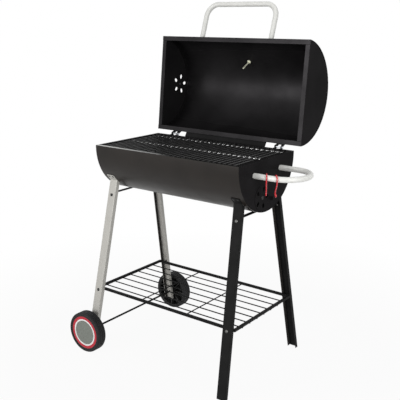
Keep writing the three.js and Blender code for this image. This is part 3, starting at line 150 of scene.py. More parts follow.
def length(name, millimetres, description):
    return bpy.props.FloatProperty(
        name=name, description=description, default=millimetres * MM, unit="LENGTH", min=0, precision=5
    )


def bearing(name, degrees, description):
    return bpy.props.FloatProperty(
        name=name, description=description, default=math.radians(degrees), subtype="ANGLE"
    )


def power(name, watts, description):
    return bpy.props.FloatProperty(
        name=name, description=description, default=watts, min=0, unit="POWER"
    )


class BarbecueColours(bpy.types.PropertyGroup):
    """Colours of the barbecue's finishes"""

    bowl_enamel: colour("Bowl enamel", "221e1b", "Rolled sheet of the bowl")
    lid_enamel: colour("Lid enamel", "292829", "Lid and end plates")
    silver: colour("Silver paint", "b4b2ac", "Painted legs at the wheeled end")
    # Painted shade: the colour of the flanges' inner faces stands for the shadow inside the legs' folds.
    primer: colour("Dark primer", "2f2d2b", "Inner faces of the legs' flanges")
    powder: colour("Powder coat", "1c1c1c", "Legs, shelf, braces and hinges")
    wire: colour("Wire enamel", "3a3a3a", "Cooking grate and charcoal grate")
    rod: colour("Grate rods", "f0f0ee", "Bright cross rods of the cooking grate")
    # Painted highlight: bright steel colour on the bowl's front lip, fading out towards the middle.
    rubbed: colour("Lip highlight", "a8a8a6", "Bare steel on the bowl's front lip")
    pale: colour("Pale coating", "ecece8", "Tube of the side handle")
    # Painted shade: the lid handle's tube is a darker copy of the side handle's pale coating.
    pale_silver: colour("Shaded pale coating", "dededa", "Tube of the lid's handle")
    red_dip: colour("Red dip", "c91f2b", "Dipped hooks and the thermometer's pointer")
    zinc: colour("Zinc plating", "c6c9cd", "Screws, rivets and the thermometer's case")
    dark_bolt: colour("Blackened steel", "2a2a2a", "Bolts of the silver legs")
    # Painted highlight: the black legs' bolts are lighter grey to stand for the glint they catch.
    grey_bolt: colour("Bolt glint grey", "666664", "Bolts of the black legs")
    rubber: colour("Tyre", "222223", "Tyre compound")
    moulded_black: colour("Black moulding", "202020", "Wheel rims")
    moulded_grey: colour("Grey moulding", "777b74", "Hub caps")
    yellow_zinc: colour("Yellow zinc", "e6e6cf", "Nut and stem of the thermometer")
    moulded_red: colour("Red moulding", "bd162e", "Outer trim ring")
    moulded_white: colour("White moulding", "f0f0ee", "Inner trim ring")
    dial: colour("Dial", "efede6", "Thermometer's dial")
    ink: colour("Ink", "1a1a1a", "Figures on the dial")


class BarbecueSizes(bpy.types.PropertyGroup):
    """Sizes of the barbecue's finishing details"""

    edge: length("Sheet edge", 0.45, "Rounding of cut sheet edges")
    fold: length("Folded corner", 2.6, "Outer radius of the legs' folded corners")
    leg_sheet: length("Leg sheet", 1.6, "Thickness of the legs' sheet")
    leg_flange: length("Leg flange", 17.0, "Depth of the legs' flanges")
    tab_arc: bearing("Tab arc", 10, "Share of the drum that a leg's tab covers")
    tab_corner: length("Tab corner", 5.0, "Rounding of the tabs' corners")
    bolt_rise: length("Bolt head rise", 3.0, "Height of the legs' bolt heads")
    bolt_head: length("Bolt head", 6.0, "Radius of the legs' bolt heads")
    bolt_shank: length("Bolt shank", 3.0, "Radius of the legs' bolts")
    tab_bolt_head: length("Tab bolt head", 6.4, "Radius of the two bolt heads on each leg's tab")
    tab_bolt_gap: length("Tab bolt spacing", 19.0, "Between the two bolts of a leg's tab")
    tab_bolt_drop: length("Tab bolt drop", 9.0, "From the tab's upper edge down to its bolts")
    stop_reach: length("Stop reach", 0.35, "How far the lid stop's tip is drawn up towards the open lid")
    screw_head: length("Screw head", 7.0, "Radius of the handles' screw heads")
    screw_rise: length("Screw head rise", 3.5, "Height of the handles' screw heads")
    tube: length("Tube", 10.0, "Radius of the handle tubes")
    lid_bend: length("Lid handle bend", 50.0, "Bend radius of the lid's handle")
    grip_straight: length("Grip straight", 2.0, "Straight between the side handle's two bends")
    hook_wire: length("Hook wire", 2.3, "Radius of the hooks' wire")
    hook_air: length("Hook air", 0.8, "Air between the tube and a hook's eye")
    hook_tip: length("Hook tip", 7.0, "Radius of a hook's lower loop")
    hook_drop: length("Hook drop", 63.0, "From the tube's middle to a hook's lowest point")
    grate_wire: length("Grate wire", 2.5, "Radius of the grate's wires")
    grate_rod: length("Grate rod", 3.0, "Radius of the grate's cross rods")
    grate_pitch: length("Grate pitch", 22.0, "From one grate wire to the next")
    rod_inset: length("Rod inset", 13.0, "From the ends of the grate's wires to its outer rods")
    shelf_bar: length("Shelf bar", 10.0, "Width of the shelf's frame")
    shelf_wire: length("Shelf wire", 2.25, "Radius of the shelf's wires")
    shelf_pitch: length("Shelf pitch", 48.5, "From one long shelf wire to the next")
    shelf_cross: length("Shelf cross pitch", 220.0, "Between the shelf's cross wires")
    weld: length("Weld", 0.8, "How far two welded wires sink into each other")
    cap: length("Hub cap", 49.0, "Radius of the hub cap")
    trim_rise: length("Trim rise", 4.8, "How far the trim rings are drawn out towards the tyre's side")
    ring_split: length("Ring split", 56.0, "Where the white trim ring meets the red one")
    tyre_shoulder: length("Tyre shoulder", 6.0, "Rounding of the tyre's shoulders")
    tread: length("Tread depth", 1.5, "Depth of the tyre's grooves")
    first_hook_turn: bearing("First hook's turn", 30, "About the vertical")
    second_hook_turn: bearing("Second hook's turn", 42, "About the vertical")


class BarbecueStage(bpy.types.PropertyGroup):
    """Camera and light of the studio"""

    camera_place: bpy.props.FloatVectorProperty(
        name="Camera place", description="From the middle of the barbecue's footprint",
        default=(1.48283, -2.06646, 1.2936), subtype="TRANSLATION", unit="LENGTH",
    )
    camera_turn: bpy.props.FloatVectorProperty(
        name="Camera turn", description="Tilt, roll and heading of the camera",
        default=tuple(math.radians(angle) for angle in (75.0968, -0.28962, 36.76408)),
        subtype="EULER", unit="ROTATION",
    )
    lens: bpy.props.FloatProperty(
        name="Lens", description="Focal length", default=60.94, min=10, max=300, unit="CAMERA"
    )
    sky: bpy.props.FloatProperty(
        name="Surrounding light", description="Strength of the even light from all sides", default=0.22, min=0
    )
    key: power("Key lamp", 112, "Power of the large front lamp")
    fill: power("Fill lamp", 60, "Power of the side lamp")
    top: power("Top lamp", 22, "Power of the lamp overhead")


# ---- Handling pieces ---------------------------------------------------------------


def solo(*pieces):
    """Selects only the given pieces, the last one active."""
    if bpy.context.mode != "OBJECT":
        bpy.ops.object.mode_set(mode="OBJECT")
    bpy.ops.object.select_all(action="DESELECT")
    for piece in pieces:
        piece.select_set(True)
        bpy.context.view_layer.objects.active = piece


def called(name):
    """Names the active piece and its mesh."""
    piece = bpy.context.object
    piece.name = piece.data.name = name
    return piece


def named(name):
    """Names the primitive that was just added and settles its place into its mesh."""
    bpy.ops.object.transform_apply(location=True, rotation=True, scale=True)
    return called(name)


def primitive(kind, name, **settings):
    """A new primitive, its place settled into its mesh."""
    solo()
    getattr(bpy.ops.mesh, f"primitive_{kind}_add")(**settings)
    return named(name)


def edit(piece):
    """Opens a piece in edit mode with all of it selected; solo leaves edit mode again."""
    solo(piece)
    bpy.ops.object.mode_set(mode="EDIT")
    bpy.ops.mesh.select_all(action="SELECT")


def pushed(vector):
    """In edit mode, extrudes what is selected along a vector."""
    bpy.ops.mesh.extrude_region_move(TRANSFORM_OT_translate={"value": vector})


def pick(piece, kind, test):
    """In edit mode, selects only the faces, edges or vertices that pass the test."""
    bpy.ops.mesh.select_mode(type=kind)
    bpy.ops.mesh.select_all(action="DESELECT")
    mesh = bmesh.from_edit_mesh(piece.data)
    items = {"FACE": mesh.faces, "EDGE": mesh.edges, "VERT": mesh.verts}[kind]
    for item in items:
        if test(item):
            item.select_set(True)
    mesh.select_flush_mode()
    bmesh.update_edit_mesh(piece.data)


def tidy_up(merge=0.002 * MM):
    """In edit mode, merges doubles and turns every face outwards."""
    bpy.ops.mesh.select_all(action="SELECT")
    bpy.ops.mesh.remove_doubles(threshold=merge)
    bpy.ops.mesh.normals_make_consistent(inside=False)


def smooth(piece, degrees=30):
    """Smooth shading across edges flatter than the angle, with flat faces kept flat."""
    solo(piece)
    bpy.ops.object.shade_smooth_by_angle(angle=math.radians(degrees))
    weights = piece.modifiers.new("Flat faces first", "WEIGHTED_NORMAL")
    weights.keep_sharp = True
    bpy.ops.object.modifier_apply(modifier=weights.name)


def round_edges(piece, width, segments=2, degrees=40):
    """Rounds every edge sharper than the given angle."""
    solo(piece)
    bevel = piece.modifiers.new("Rounded edges", "BEVEL")
    bevel.width = width
    bevel.segments = segments
    bevel.limit_method = "ANGLE"
    bevel.angle_limit = math.radians(degrees)
    bevel.use_clamp_overlap = False
    bpy.ops.object.modifier_apply(modifier=bevel.name)


def settled(piece, matrix):
    """Moves a piece by a matrix and keeps its place in its mesh."""
    solo(piece)
    piece.matrix_world = matrix
    bpy.ops.object.transform_apply(location=True, rotation=True, scale=True)
    return piece


def copy_to(master, name, matrix):
    """A copy of a piece, with its own mesh, moved by a matrix."""
    solo(master)
    bpy.ops.object.duplicate(linked=False)
    return settled(called(name), matrix)


def fused(name, pieces):
    """One object made of several."""
    solo(*pieces)
    bpy.ops.object.join()
    return called(name)


def removed(piece):
    bpy.data.objects.remove(piece)


def placed(piece, body, finish, slot, *nodes):
    """Puts a finished piece on its body with its finish, in place of the nodes it stands for."""
    piece.data.materials.clear()
    piece.data.materials.append(bpy.data.materials[finish])
    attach(piece, body)
    if nodes:
        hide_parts(*nodes)
    return piece


def stood_in(piece, finish, node):
    """Puts a finished piece in place of one node, on that node's body."""
    return placed(piece, body_of(node), finish, slot_of(node), node)


def reworked(node, suffix="rounded"):
    """A new piece with a node's shape: its triangles merged, its flat faces made whole."""
    source = frame["nodes"][node]
    piece = bpy.data.objects.new(node + "_" + suffix, source.data.copy())
    bpy.context.scene.collection.objects.link(piece)
    edit(piece)
    bpy.ops.mesh.remove_doubles(threshold=0.01 * MM)
    bpy.ops.mesh.dissolve_limited(angle_limit=math.radians(0.3))
    bpy.ops.object.mode_set(mode="OBJECT")
    return piece


def body_of(node):
    return frame["nodes"][node]["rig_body"]


def slot_of(node):
    for part in frame["record"]["subparts"]:
        if part["node"] == node:
            return part["material_slot"]
    raise ValueError("no slot for " + node)


def sheet_piece(node, finish, edge, segments=2, smooth_degrees=22):
    """A node's shape with its sheet edges rounded, in place of the node."""
    piece = reworked(node)
    round_edges(piece, edge, segments)
    smooth(piece, smooth_degrees)
    return stood_in(piece, finish, node)


def tube(name, start, heading, axis, runs, radius, sides=32, rounding=0.0):
    """A round bar. Each run is a length to go straight, or (angle, bend radius) about the axis.

    The rims of its two flat ends are rounded where a rounding is given.
    """
    piece = primitive(
        "circle", name, vertices=sides, radius=radius, fill_type="NGON", location=start,
        rotation=heading.to_track_quat("Z", "Y").to_euler(),
    )
    edit(piece)
    place, way = start.copy(), heading.normalized()
    for run in runs:
        if isinstance(run, tuple):
            angle, bend = run
            centre = place + axis.cross(way) * math.copysign(bend, angle)
            steps = max(6, round(abs(angle) * 14))
            bpy.ops.mesh.spin(steps=steps, angle=-angle, center=centre, axis=axis)
            turn = Matrix.Rotation(angle, 3, axis)
            place, way = centre + turn @ (place - centre), turn @ way
        else:
            pushed(way * run)
            place = place + way * run
    tidy_up()
    if rounding:
        pick(piece, "FACE", lambda face: len(face.verts) == sides)
        bpy.ops.mesh.region_to_loop()
        bpy.ops.mesh.bevel(offset=rounding, segments=3, affect="EDGES")
    smooth(piece, 35)
    return piece


def drawn(name, points):
    """A chain of edges through the given points, left in edit mode."""
    piece = primitive("plane", name, size=MM)
    edit(piece)
    bpy.ops.mesh.merge(type="CENTER")
    bpy.ops.mesh.select_mode(type="VERT")
    bpy.ops.mesh.select_all(action="SELECT")
    here = Vector(points[0])
    bpy.ops.transform.translate(value=here)
    for point in points[1:]:
        pushed(Vector(point) - here)
        here = Vector(point)
    bpy.ops.mesh.select_all(action="SELECT")
    return piece


def lathe(name, outline, steps=64):
    """A closed or axis-to-axis outline of (radius, height) turned about Z."""
    piece = drawn(name, [(radius, 0, height) for radius, height in outline])
    bpy.ops.mesh.spin(steps=steps, angle=math.tau, center=(0, 0, 0), axis=(0, 0, 1))
    tidy_up()
    solo(piece)
    return piece


def pressed(name, outline, low, high):
    """An outline of (x, y) filled and pushed along Z from low to high."""
    piece = drawn(name, [(x, y, low) for x, y in outline])
    bpy.ops.mesh.edge_face_add()
    pushed((0, 0, high - low))
    tidy_up()
    solo(piece)
    return piece


def carved(piece, cutter):
    """Takes a cutter's shape out of a piece and throws the cutter away."""
    solo(piece)
    carve = piece.modifiers.new("Carved", "BOOLEAN")
    carve.operation = "DIFFERENCE"
    carve.solver = "EXACT"
    carve.object = cutter
    bpy.ops.object.modifier_apply(modifier=carve.name)
    removed(cutter)


def domed(head, rise, top, degrees, count):
    """Outline of a domed head, from its crown at height top outwards in steps of some degrees."""
    turns = (math.radians(degrees * step) for step in range(count))
    return [(head * math.sin(turn), top - rise * (1 - math.cos(turn))) for turn in turns]


def arc_outline(centre, radius, start, end, steps):
    """Points of an arc for an outline, angles in degrees."""
    return [
        (
            centre[0] + radius * math.cos(math.radians(start + (end - start) * i / steps)),
            centre[1] + radius * math.sin(math.radians(start + (end - start) * i / steps)),
        )
        for i in range(steps + 1)
    ]


def bar(name, start, end, radius, sides=12, rounding=0.4 * MM):
    """A straight wire with slightly rounded ends."""
    along = end - start
    across = X if abs(along.normalized().x) < 0.9 else Y
    return tube(name, start, along, across, [along.length], radius, sides, rounding)


def spread(count, pitch):
    """Places of a row of like pieces, about its middle."""
    return [(i - (count - 1) / 2) * pitch for i in range(count)]


# ---- Finishes ----------------------------------------------------------------------


# Each finish is (its colour's setting, roughness, metallic, specular level, patterns). A
# pattern starts with what it moves, the size of its lumps in millimetres and its detail.
# Then colour has how far it goes lighter and darker, and so have crystals, which are colour
# that follows small cells. Gloss has the least and the greatest roughness against the
# finish's own. Relief has its depth in millimetres, its strength and, on drawn metal, how
# its lumps are stretched.
ENAMEL_SKIN = (
    ("colour", 140, 3, 0.16), ("gloss", 45, 4, -0.04, 0.05),
    ("relief", 2.2, 2, 0.05, 0.5), ("relief", 80, 1, 0.5, 0.35),
)
TUBE_SKIN = (("colour", 50, 3, 0.03), ("gloss", 15, 2, -0.04, 0.06), ("relief", 3, 2, 0.02, 0.4))
BOLT_SKIN = (("colour", 3, 3, 0.2), ("relief", 1.5, 2, 0.04, 0.5))
MOULD_SKIN = (("colour", 25, 3, 0.05), ("gloss", 6, 2, -0.05, 0.06), ("relief", 0.7, 2, 0.02, 0.6))
FINISHES = {
    # Heat-resistant stove enamel sprayed on rolled sheet: a satin skin with a fine orange
    # peel, whose wide soft sheen breaks up a little where the coat is thinner.
    "satin_stove_enamel": ("bowl_enamel", 0.36, 0.0, 0.19, ENAMEL_SKIN),
    # The drier graphite coat of the lid and the end plates: its graphite mirrors dimly and
    # evenly, so they stay black where the bowl's wetter coat shows a grey sheen.
    "graphite_stove_enamel": ("lid_enamel", 0.38, 0.5, 0.02, ENAMEL_SKIN),
    # Aluminium-flake paint on folded steel: pale grey that glitters very slightly and turns
    # a little darker away from the light. Its flakes are drawn coarser, so that they show.
    "silver_flake_paint": ("silver", 0.36, 0.12, 0.5, (
        ("colour", 1, 3, 0.06), ("gloss", 30, 3, -0.06, 0.06), ("relief", 1.8, 2, 0.03, 0.2))),
    # Painted shade inside the folds: the inner faces of the legs' flanges are nearly black and dull, standing
    # for the shadow there, mottled with a little stray flake.
    "dark_primer_inside_folds": ("primer", 0.6, 0.0, 0.12, (
        ("colour", 9, 4, 0.3), ("relief", 1.5, 2, 0.03, 0.4))),
    # Baked powder coat: even near-black with a fine pebbled skin and a broad dull gloss.
    "baked_powder_coat": ("powder", 0.52, 0.0, 0.05, (
        ("colour", 60, 3, 0.14), ("gloss", 20, 3, -0.04, 0.06), ("relief", 1.3, 2, 0.04, 0.6))),
    # Dipped enamel on drawn wire: a glossy dark grey that runs slightly thick and thin.
    "dipped_wire_enamel": ("wire", 0.3, 0.0, 0.5, (
        ("colour", 12, 2, 0.2), ("relief", 5, 2, 0.12, 0.5))),
    # Drawn steel rod, bright where the coat is thin: pale glints between the wires.
    "bright_drawn_rod": ("rod", 0.36, 1.0, 0.5, (
        ("colour", 7, 3, 0.25), ("relief", 3, 1, 0.05, 0.4, (0.1, 1, 1)))),
    # A painted highlight along the bowl's front lip: bright steel colour that makes a thin bright line at the
    # wheeled end and dies away to almost black past the middle.
    "rubbed_steel_lip": ("rubbed", 0.3, 1.0, 0.5, (("gloss", 4, 2, -0.06, 0.12),)),
    # Pale stoving paint on welded tube: smooth, with a soft gloss, almost white on the side handle. The lid
    # handle's is a darker copy of the same paint, painted shade for the greyer look of that tube.
    "white_stoved_tube_paint": ("pale", 0.34, 0.0, 0.5, TUBE_SKIN),
    "silver_stoved_tube_paint": ("pale_silver", 0.34, 0.0, 0.5, TUBE_SKIN),
    # Soft plastic dip on wire: saturated red, glossy and slightly lumpy where it dripped.
    "red_plastic_dip": ("red_dip", 0.2, 0.0, 0.6, (
        ("colour", 9, 2, 0.08), ("relief", 4, 2, 0.1, 0.5))),
    # Bright zinc plating on small hardware: cool metal with a faint clouded crystal look, its
    # crystals drawn coarser, so that they show.
    "bright_zinc_plating": ("zinc", 0.3, 1.0, 0.5, (
        ("crystals", 1.6, None, 0.1), ("gloss", 4, 2, -0.06, 0.08))),
    # Matt zinc-flake plating with a pale yellow cast: it stays light inside the black lid,
    # where bright plating would only mirror the dark.
    "pale_yellow_zinc_flake": ("yellow_zinc", 0.45, 0.3, 0.5, (
        ("colour", 4, 3, 0.12), ("relief", 1, 2, 0.03, 0.4))),
    # Blackened steel bolts: oily metal with a small sharp glint. The black legs' bolts use a lighter grey
    # copy, a painted highlight that stands for the glint they catch.
    "blackened_bolt_steel": ("dark_bolt", 0.36, 0.7, 0.5, BOLT_SKIN),
    "phosphated_bolt_steel": ("grey_bolt", 0.36, 0.7, 0.5, BOLT_SKIN),
    # Hard blow-moulded tyre compound: matt charcoal with a fine dusty grain.
    "moulded_tyre_compound": ("rubber", 0.62, 0.0, 0.2, (
        ("colour", 8, 4, 0.22), ("gloss", 14, 3, -0.07, 0.08), ("relief", 1.1, 3, 0.06, 0.6))),
    # Injection-moulded polypropylene: even colour with the fine spark-eroded grain of the
    # mould, drawn coarser than the real 0.2 mm so that it shows.
    "black_moulded_plastic": ("moulded_black", 0.46, 0.0, 0.45, MOULD_SKIN),
    "grey_moulded_plastic": ("moulded_grey", 0.42, 0.0, 0.45, MOULD_SKIN),
    "red_moulded_plastic": ("moulded_red", 0.34, 0.0, 0.45, MOULD_SKIN),
    "white_moulded_plastic": ("moulded_white", 0.36, 0.0, 0.45, MOULD_SKIN),
    # Printed sheet-metal dial: warm white lacquer with the faintest mottling.
    "lacquered_dial_white": ("dial", 0.4, 0.0, 0.5, (("colour", 5, 3, 0.03),)),
    # Screen-printed figures: dense ink, a little patchy at its edges.
    "screen_printed_ink": ("ink", 0.5, 0.0, 0.5, (("colour", 0.6, 2, 0.25),)),
    # Pressed window glass over the dial: clear, with a soft bright rim and faint ripples.
    "pressed_window_glass": (None, 0.03, 0.0, 0.5, (("relief", 12, 1, 0.02, 0.3),)),
}


def put(tree, kind, inputs=None, **settings):
    """Adds one node: settings are its own properties, inputs are values or sockets to link."""
    made = tree.nodes.new("ShaderNode" + kind)
    for name, value in settings.items():
        setattr(made, name, value)
    for name, value in (inputs or {}).items():
        if isinstance(value, bpy.types.NodeSocket):
            tree.links.new(value, made.inputs[name])
        else:
            made.inputs[name].default_value = value
    return made


def finish_made(name, tone, roughness, metallic, specular, patterns):
    """Makes the material of one row of FINISHES: (its tree, its shader, its coordinates)."""
    material = bpy.data.materials.new(name)
    material.use_nodes = True
    tree = material.node_tree
    shader = tree.nodes["Principled BSDF"]
    shader.inputs["Roughness"].default_value = roughness
    shader.inputs["Metallic"].default_value = metallic
    shader.inputs["Specular IOR Level"].default_value = specular
    coords = put(tree, "TexCoord").outputs["Object"]
    under = {}
    for use, size, detail, *settings in patterns:
        place = {"Vector": coords, "Scale": 1 / (size * MM)}
        if len(settings) == 3:
            place["Vector"] = put(tree, "Mapping", {"Vector": coords, "Scale": settings[2]}).outputs["Vector"]
        if use == "crystals":
            pattern = put(tree, "TexVoronoi", place).outputs["Distance"]
        else:
            pattern = put(tree, "TexNoise", place | {"Detail": detail}).outputs["Fac"]
        if use == "gloss":
            least, most = (roughness + change for change in settings)
            worn = put(tree, "MapRange", {
                "Value": pattern, "From Min": 0.3, "From Max": 0.7, "To Min": least, "To Max": most})
            tree.links.new(worn.outputs["Result"], shader.inputs["Roughness"])
        elif use == "relief":
            bump = put(tree, "Bump", {
                "Height": pattern, "Distance": settings[0] * MM, "Strength": settings[1]} | under)
            tree.links.new(bump.outputs["Normal"], shader.inputs["Normal"])
            under = {"Normal": bump.outputs["Normal"]}
        else:
            ramp = put(tree, "ValToRGB", {"Fac": pattern})
            stops = (0.2, 0.8) if use == "crystals" else (0.35, 0.65)
            for stop, position, sign in zip(ramp.color_ramp.elements, stops, (-1, 1)):
                stop.position = position
                stop.color = [min(1, channel * (1 + sign * settings[0])) for channel in tone] + [1]
            tree.links.new(ramp.outputs["Color"], shader.inputs["Base Color"])
    return tree, shader, coords


class BARBECUE_OT_finishes(bpy.types.Operator):
    """Makes the paints, platings, plastics and glass"""

    bl_idname = "barbecue.finishes"
    bl_label = "Finishes"

    def execute(self, context):
        tones = context.scene.barbecue_colours
        made = {name: finish_made(name, getattr(tones, row[0]) if row[0] else None, *row[1:])
                for name, row in FINISHES.items()}

        made["graphite_stove_enamel"][1].inputs["Specular Tint"].default_value = (0, 0, 0, 1)
        glass = made["pressed_window_glass"][1].inputs
        glass["Base Color"].default_value = (0.97, 0.99, 0.98, 1)
        glass["Transmission Weight"].default_value = 1.0
        glass["IOR"].default_value = 1.5

        # The lip's painted highlight: its steel colour is full at the wheeled end and fades to almost nothing
        # by the middle.
        tree, shader, coords = made["rubbed_steel_lip"]
        low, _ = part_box("bowl_shell")
        along = put(tree, "SeparateXYZ", {0: coords}).outputs["X"]
        painted_highlight = put(tree, "MapRange", {
            "Value": along, "From Min": low.x, "From Max": middle_of("bowl_shell").x,
            "To Min": 1.0, "To Max": 0.04,
        }, interpolation_type="SMOOTHSTEP").outputs["Result"]
        steel = put(tree, "VectorMath", {0: tones.rubbed, "Scale": painted_highlight}, operation="SCALE")
        tree.links.new(steel.outputs["Vector"], shader.inputs["Base Color"])

        for node in ("axle_cap_front", "axle_cap_back"):
            cap = frame["nodes"][node]
            cap.data.materials.clear()
            cap.data.materials.append(bpy.data.materials["bright_zinc_plating"])
        return {"FINISHED"}


# ---- Bowl and lid ------------------------------------------------------------------


class BARBECUE_OT_drum(bpy.types.Operator):
    """Rolled sheets and end plates of the bowl and the lid, and the dampers on their vents"""

    bl_idname = "barbecue.drum"
    bl_label = "Bowl and lid"

    def execute(self, context):
        edge = context.scene.barbecue_sizes.edge
        bowl = sheet_piece("bowl_shell", "satin_stove_enamel", edge)
        for finish in ("graphite_stove_enamel", "rubbed_steel_lip"):
            bowl.data.materials.append(bpy.data.materials[finish])
        middle, rim = drum_measures()[0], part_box("bowl_shell")[1].z
        satin, graphite, painted_highlight = range(3)
        for face in bowl.data.polygons:
            spoke = face.center - middle
            spoke.x = 0
            # Faces along the rim's top: at the front they take the lip's painted highlight, at the back the
            # graphite enamel.
            if rim - face.center.z < 1.2 * edge:
                face.material_index = painted_highlight if spoke.y < 0 else graphite
            else:
                outside = face.normal.dot(spoke.normalized()) >= 0.5
                face.material_index = satin if outside else graphite
        for node in (
            "bowl_end_left", "bowl_end_right", "bowl_vent_disc",
            "lid_shell", "lid_end_left", "lid_end_right", "lid_vent_disc",
        ):
            sheet_piece(node, "graphite_stove_enamel", edge)
        return {"FINISHED"}


class BARBECUE_OT_hinges(bpy.types.Operator):
    """Hinge brackets, straps and pins, and the strip on which the open lid leans"""

    bl_idname = "barbecue.hinges"
    bl_label = "Hinges"

    def execute(self, context):
        sizes = context.scene.barbecue_sizes
        for kind in ("bracket", "strap"):
            for side in SIDES:
                sheet_piece(f"hinge_{kind}_{side}", "baked_powder_coat", sizes.edge)
        stop = sheet_piece("lid_stop", "baked_powder_coat", sizes.edge)
        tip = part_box("lid_stop")[1].z
        edit(stop)
        pick(stop, "VERT", lambda v: tip - v.co.z < 2 * sizes.edge)
        bpy.ops.transform.translate(value=(0, 0, sizes.stop_reach))
        solo(stop)
        low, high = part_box("hinge_pin_left")
        half, head = (high.x - low.x) / 2, (high.z - low.z) / 2
        rise, shank = head * 0.5, head * 0.625
        upper = [*domed(head, rise, half, 18, 5), (head, half - rise), (shank, half - rise)]
        master = lathe("hinge_pin", upper + [(radius, -height) for radius, height in reversed(upper)], 32)
        smooth(master, 35)
        for side in SIDES:
            node = "hinge_pin_" + side
            pin = copy_to(master, node + "_domed", frame_at(middle_of(node), X, Y))
            stood_in(pin, "bright_zinc_plating", node)
        removed(master)
        return {"FINISHED"}


# ---- Handles and hooks -------------------------------------------------------------


class BARBECUE_OT_handles(bpy.types.Operator):
    """The bent tubes of the lid's handle and the side handle"""

    bl_idname = "barbecue.handles"
    bl_label = "Tube handles"

    def execute(self, context):
        sizes = context.scene.barbecue_sizes
        radius = sizes.tube
        low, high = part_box("side_handle")
        start = Vector((low.x, low.y + radius, (low.z + high.z) / 2))
        width = high.y - low.y - 2 * radius
        bend = (width - sizes.grip_straight) / 2
        arm = high.x - radius - low.x - bend
        quarter = math.radians(90)
        runs = [arm, (quarter, bend), width - 2 * bend, (quarter, bend), arm]
        side = tube("side_handle_tube", start, X, Z, runs, radius, 40)
        stood_in(side, "white_stoved_tube_paint", "side_handle")

        out = flat_normal("lid_handle_screw_left", Z)
        foot = middle_of("lid_handle_screw_left")
        least, most = reach("lid_handle", foot, out)
        start = foot + out * (least - AIR)
        width = middle_of("lid_handle_screw_right").x - foot.x
        bend = sizes.lid_bend
        rise = most - radius - least - 0.1 * MM - bend
        runs = [rise, (quarter, bend), width - 2 * bend, (quarter, bend), rise]
        grip = tube("lid_handle_tube", start, out, out.cross(X), runs, radius, 40)
        # The lid's handle takes the darker copy of the tube paint, its painted shade.
        stood_in(grip, "silver_stoved_tube_paint", "lid_handle")
        return {"FINISHED"}


class BARBECUE_OT_hooks(bpy.types.Operator):
    """Two S-hooks bent from dipped wire, hung over the side handle's front arm"""

    bl_idname = "barbecue.hooks"
    bl_label = "S-hooks"

    def execute(self, context):
        sizes = context.scene.barbecue_sizes
        wire = sizes.hook_wire
        clear = sizes.tube + wire + sizes.hook_air
        for number, name in enumerate(("first_hook", "second_hook"), 1):
            turn = getattr(sizes, name + "_turn")
            joint = JOINTS[name + "_swing"]
            arm, along = Vector(joint["pos_m"]), Vector(joint["axis"])
            out = Vector((math.sin(turn), -math.cos(turn), 0))
            eye = clear / math.sqrt(1 - out.dot(along) ** 2)
            centre = arm + Z * (clear - eye)
            open_turn = math.radians(200)
            start = centre + out * (eye * math.cos(open_turn)) + Z * (eye * math.sin(open_turn))
            heading = out * math.sin(open_turn) - Z * math.cos(open_turn)
            # The shank runs down in an S from the eye's outer side to the tip loop's inner side.
            lean, curve = math.radians(38), 16 * MM
            across = eye + sizes.hook_tip + MM
            slant = (across - 2 * curve * (1 - math.cos(lean))) / math.sin(lean)
            fall = sizes.hook_drop - wire - sizes.hook_tip + clear - eye
            spare = fall - 2 * curve * math.sin(lean) - slant * math.cos(lean)
            runs = [
                (-open_turn, eye), spare * 0.6, (-lean, curve), slant, (lean, curve),
                spare * 0.4, (open_turn, sizes.hook_tip),
            ]
            hook = tube(f"s_hook_{number}_wire", start, heading, out.cross(Z), runs, wire, 16, 1.2 * MM)
            stood_in(hook, "red_plastic_dip", f"s_hook_{number}")
        return {"FINISHED"}


# ---- Screws, bolts and rivets ------------------------------------------------------


def domed_head(head, rise, shank, depth, recess):
    """A round-headed screw pointing down Z, its head's seat at 0, with a cross recess."""
    rim = [(head, rise * 0.12), (head, 0), (shank, 0), (shank, -depth + shank * 0.4)]
    end = [(shank * 0.6, -depth), (0, -depth)]
    piece = lathe("screw", [*domed(head, rise, rise, 15, 6), *rim, *end], 32)
    for turn in (0, 90):
        solo()
        bpy.ops.mesh.primitive_cube_add(
            size=1, location=(0, 0, rise), rotation=(0, 0, math.radians(turn)))
        cutter = bpy.context.object
        cutter.dimensions = (head * 1.1, recess, rise * 0.9)
        carved(piece, named("recess_cutter"))
    smooth(piece, 35)
    return piece


def driven(master, node, head_way, finish, rise):
    """A copy of a screw set where a node's screw stands, its head towards head_way."""
    crown = tip_of(node, head_way)
    side = X if abs(head_way.x) < 0.9 else Y
    piece = copy_to(master, node + "_domed", frame_at(crown - head_way * rise, head_way, side))
    return stood_in(piece, finish, node)


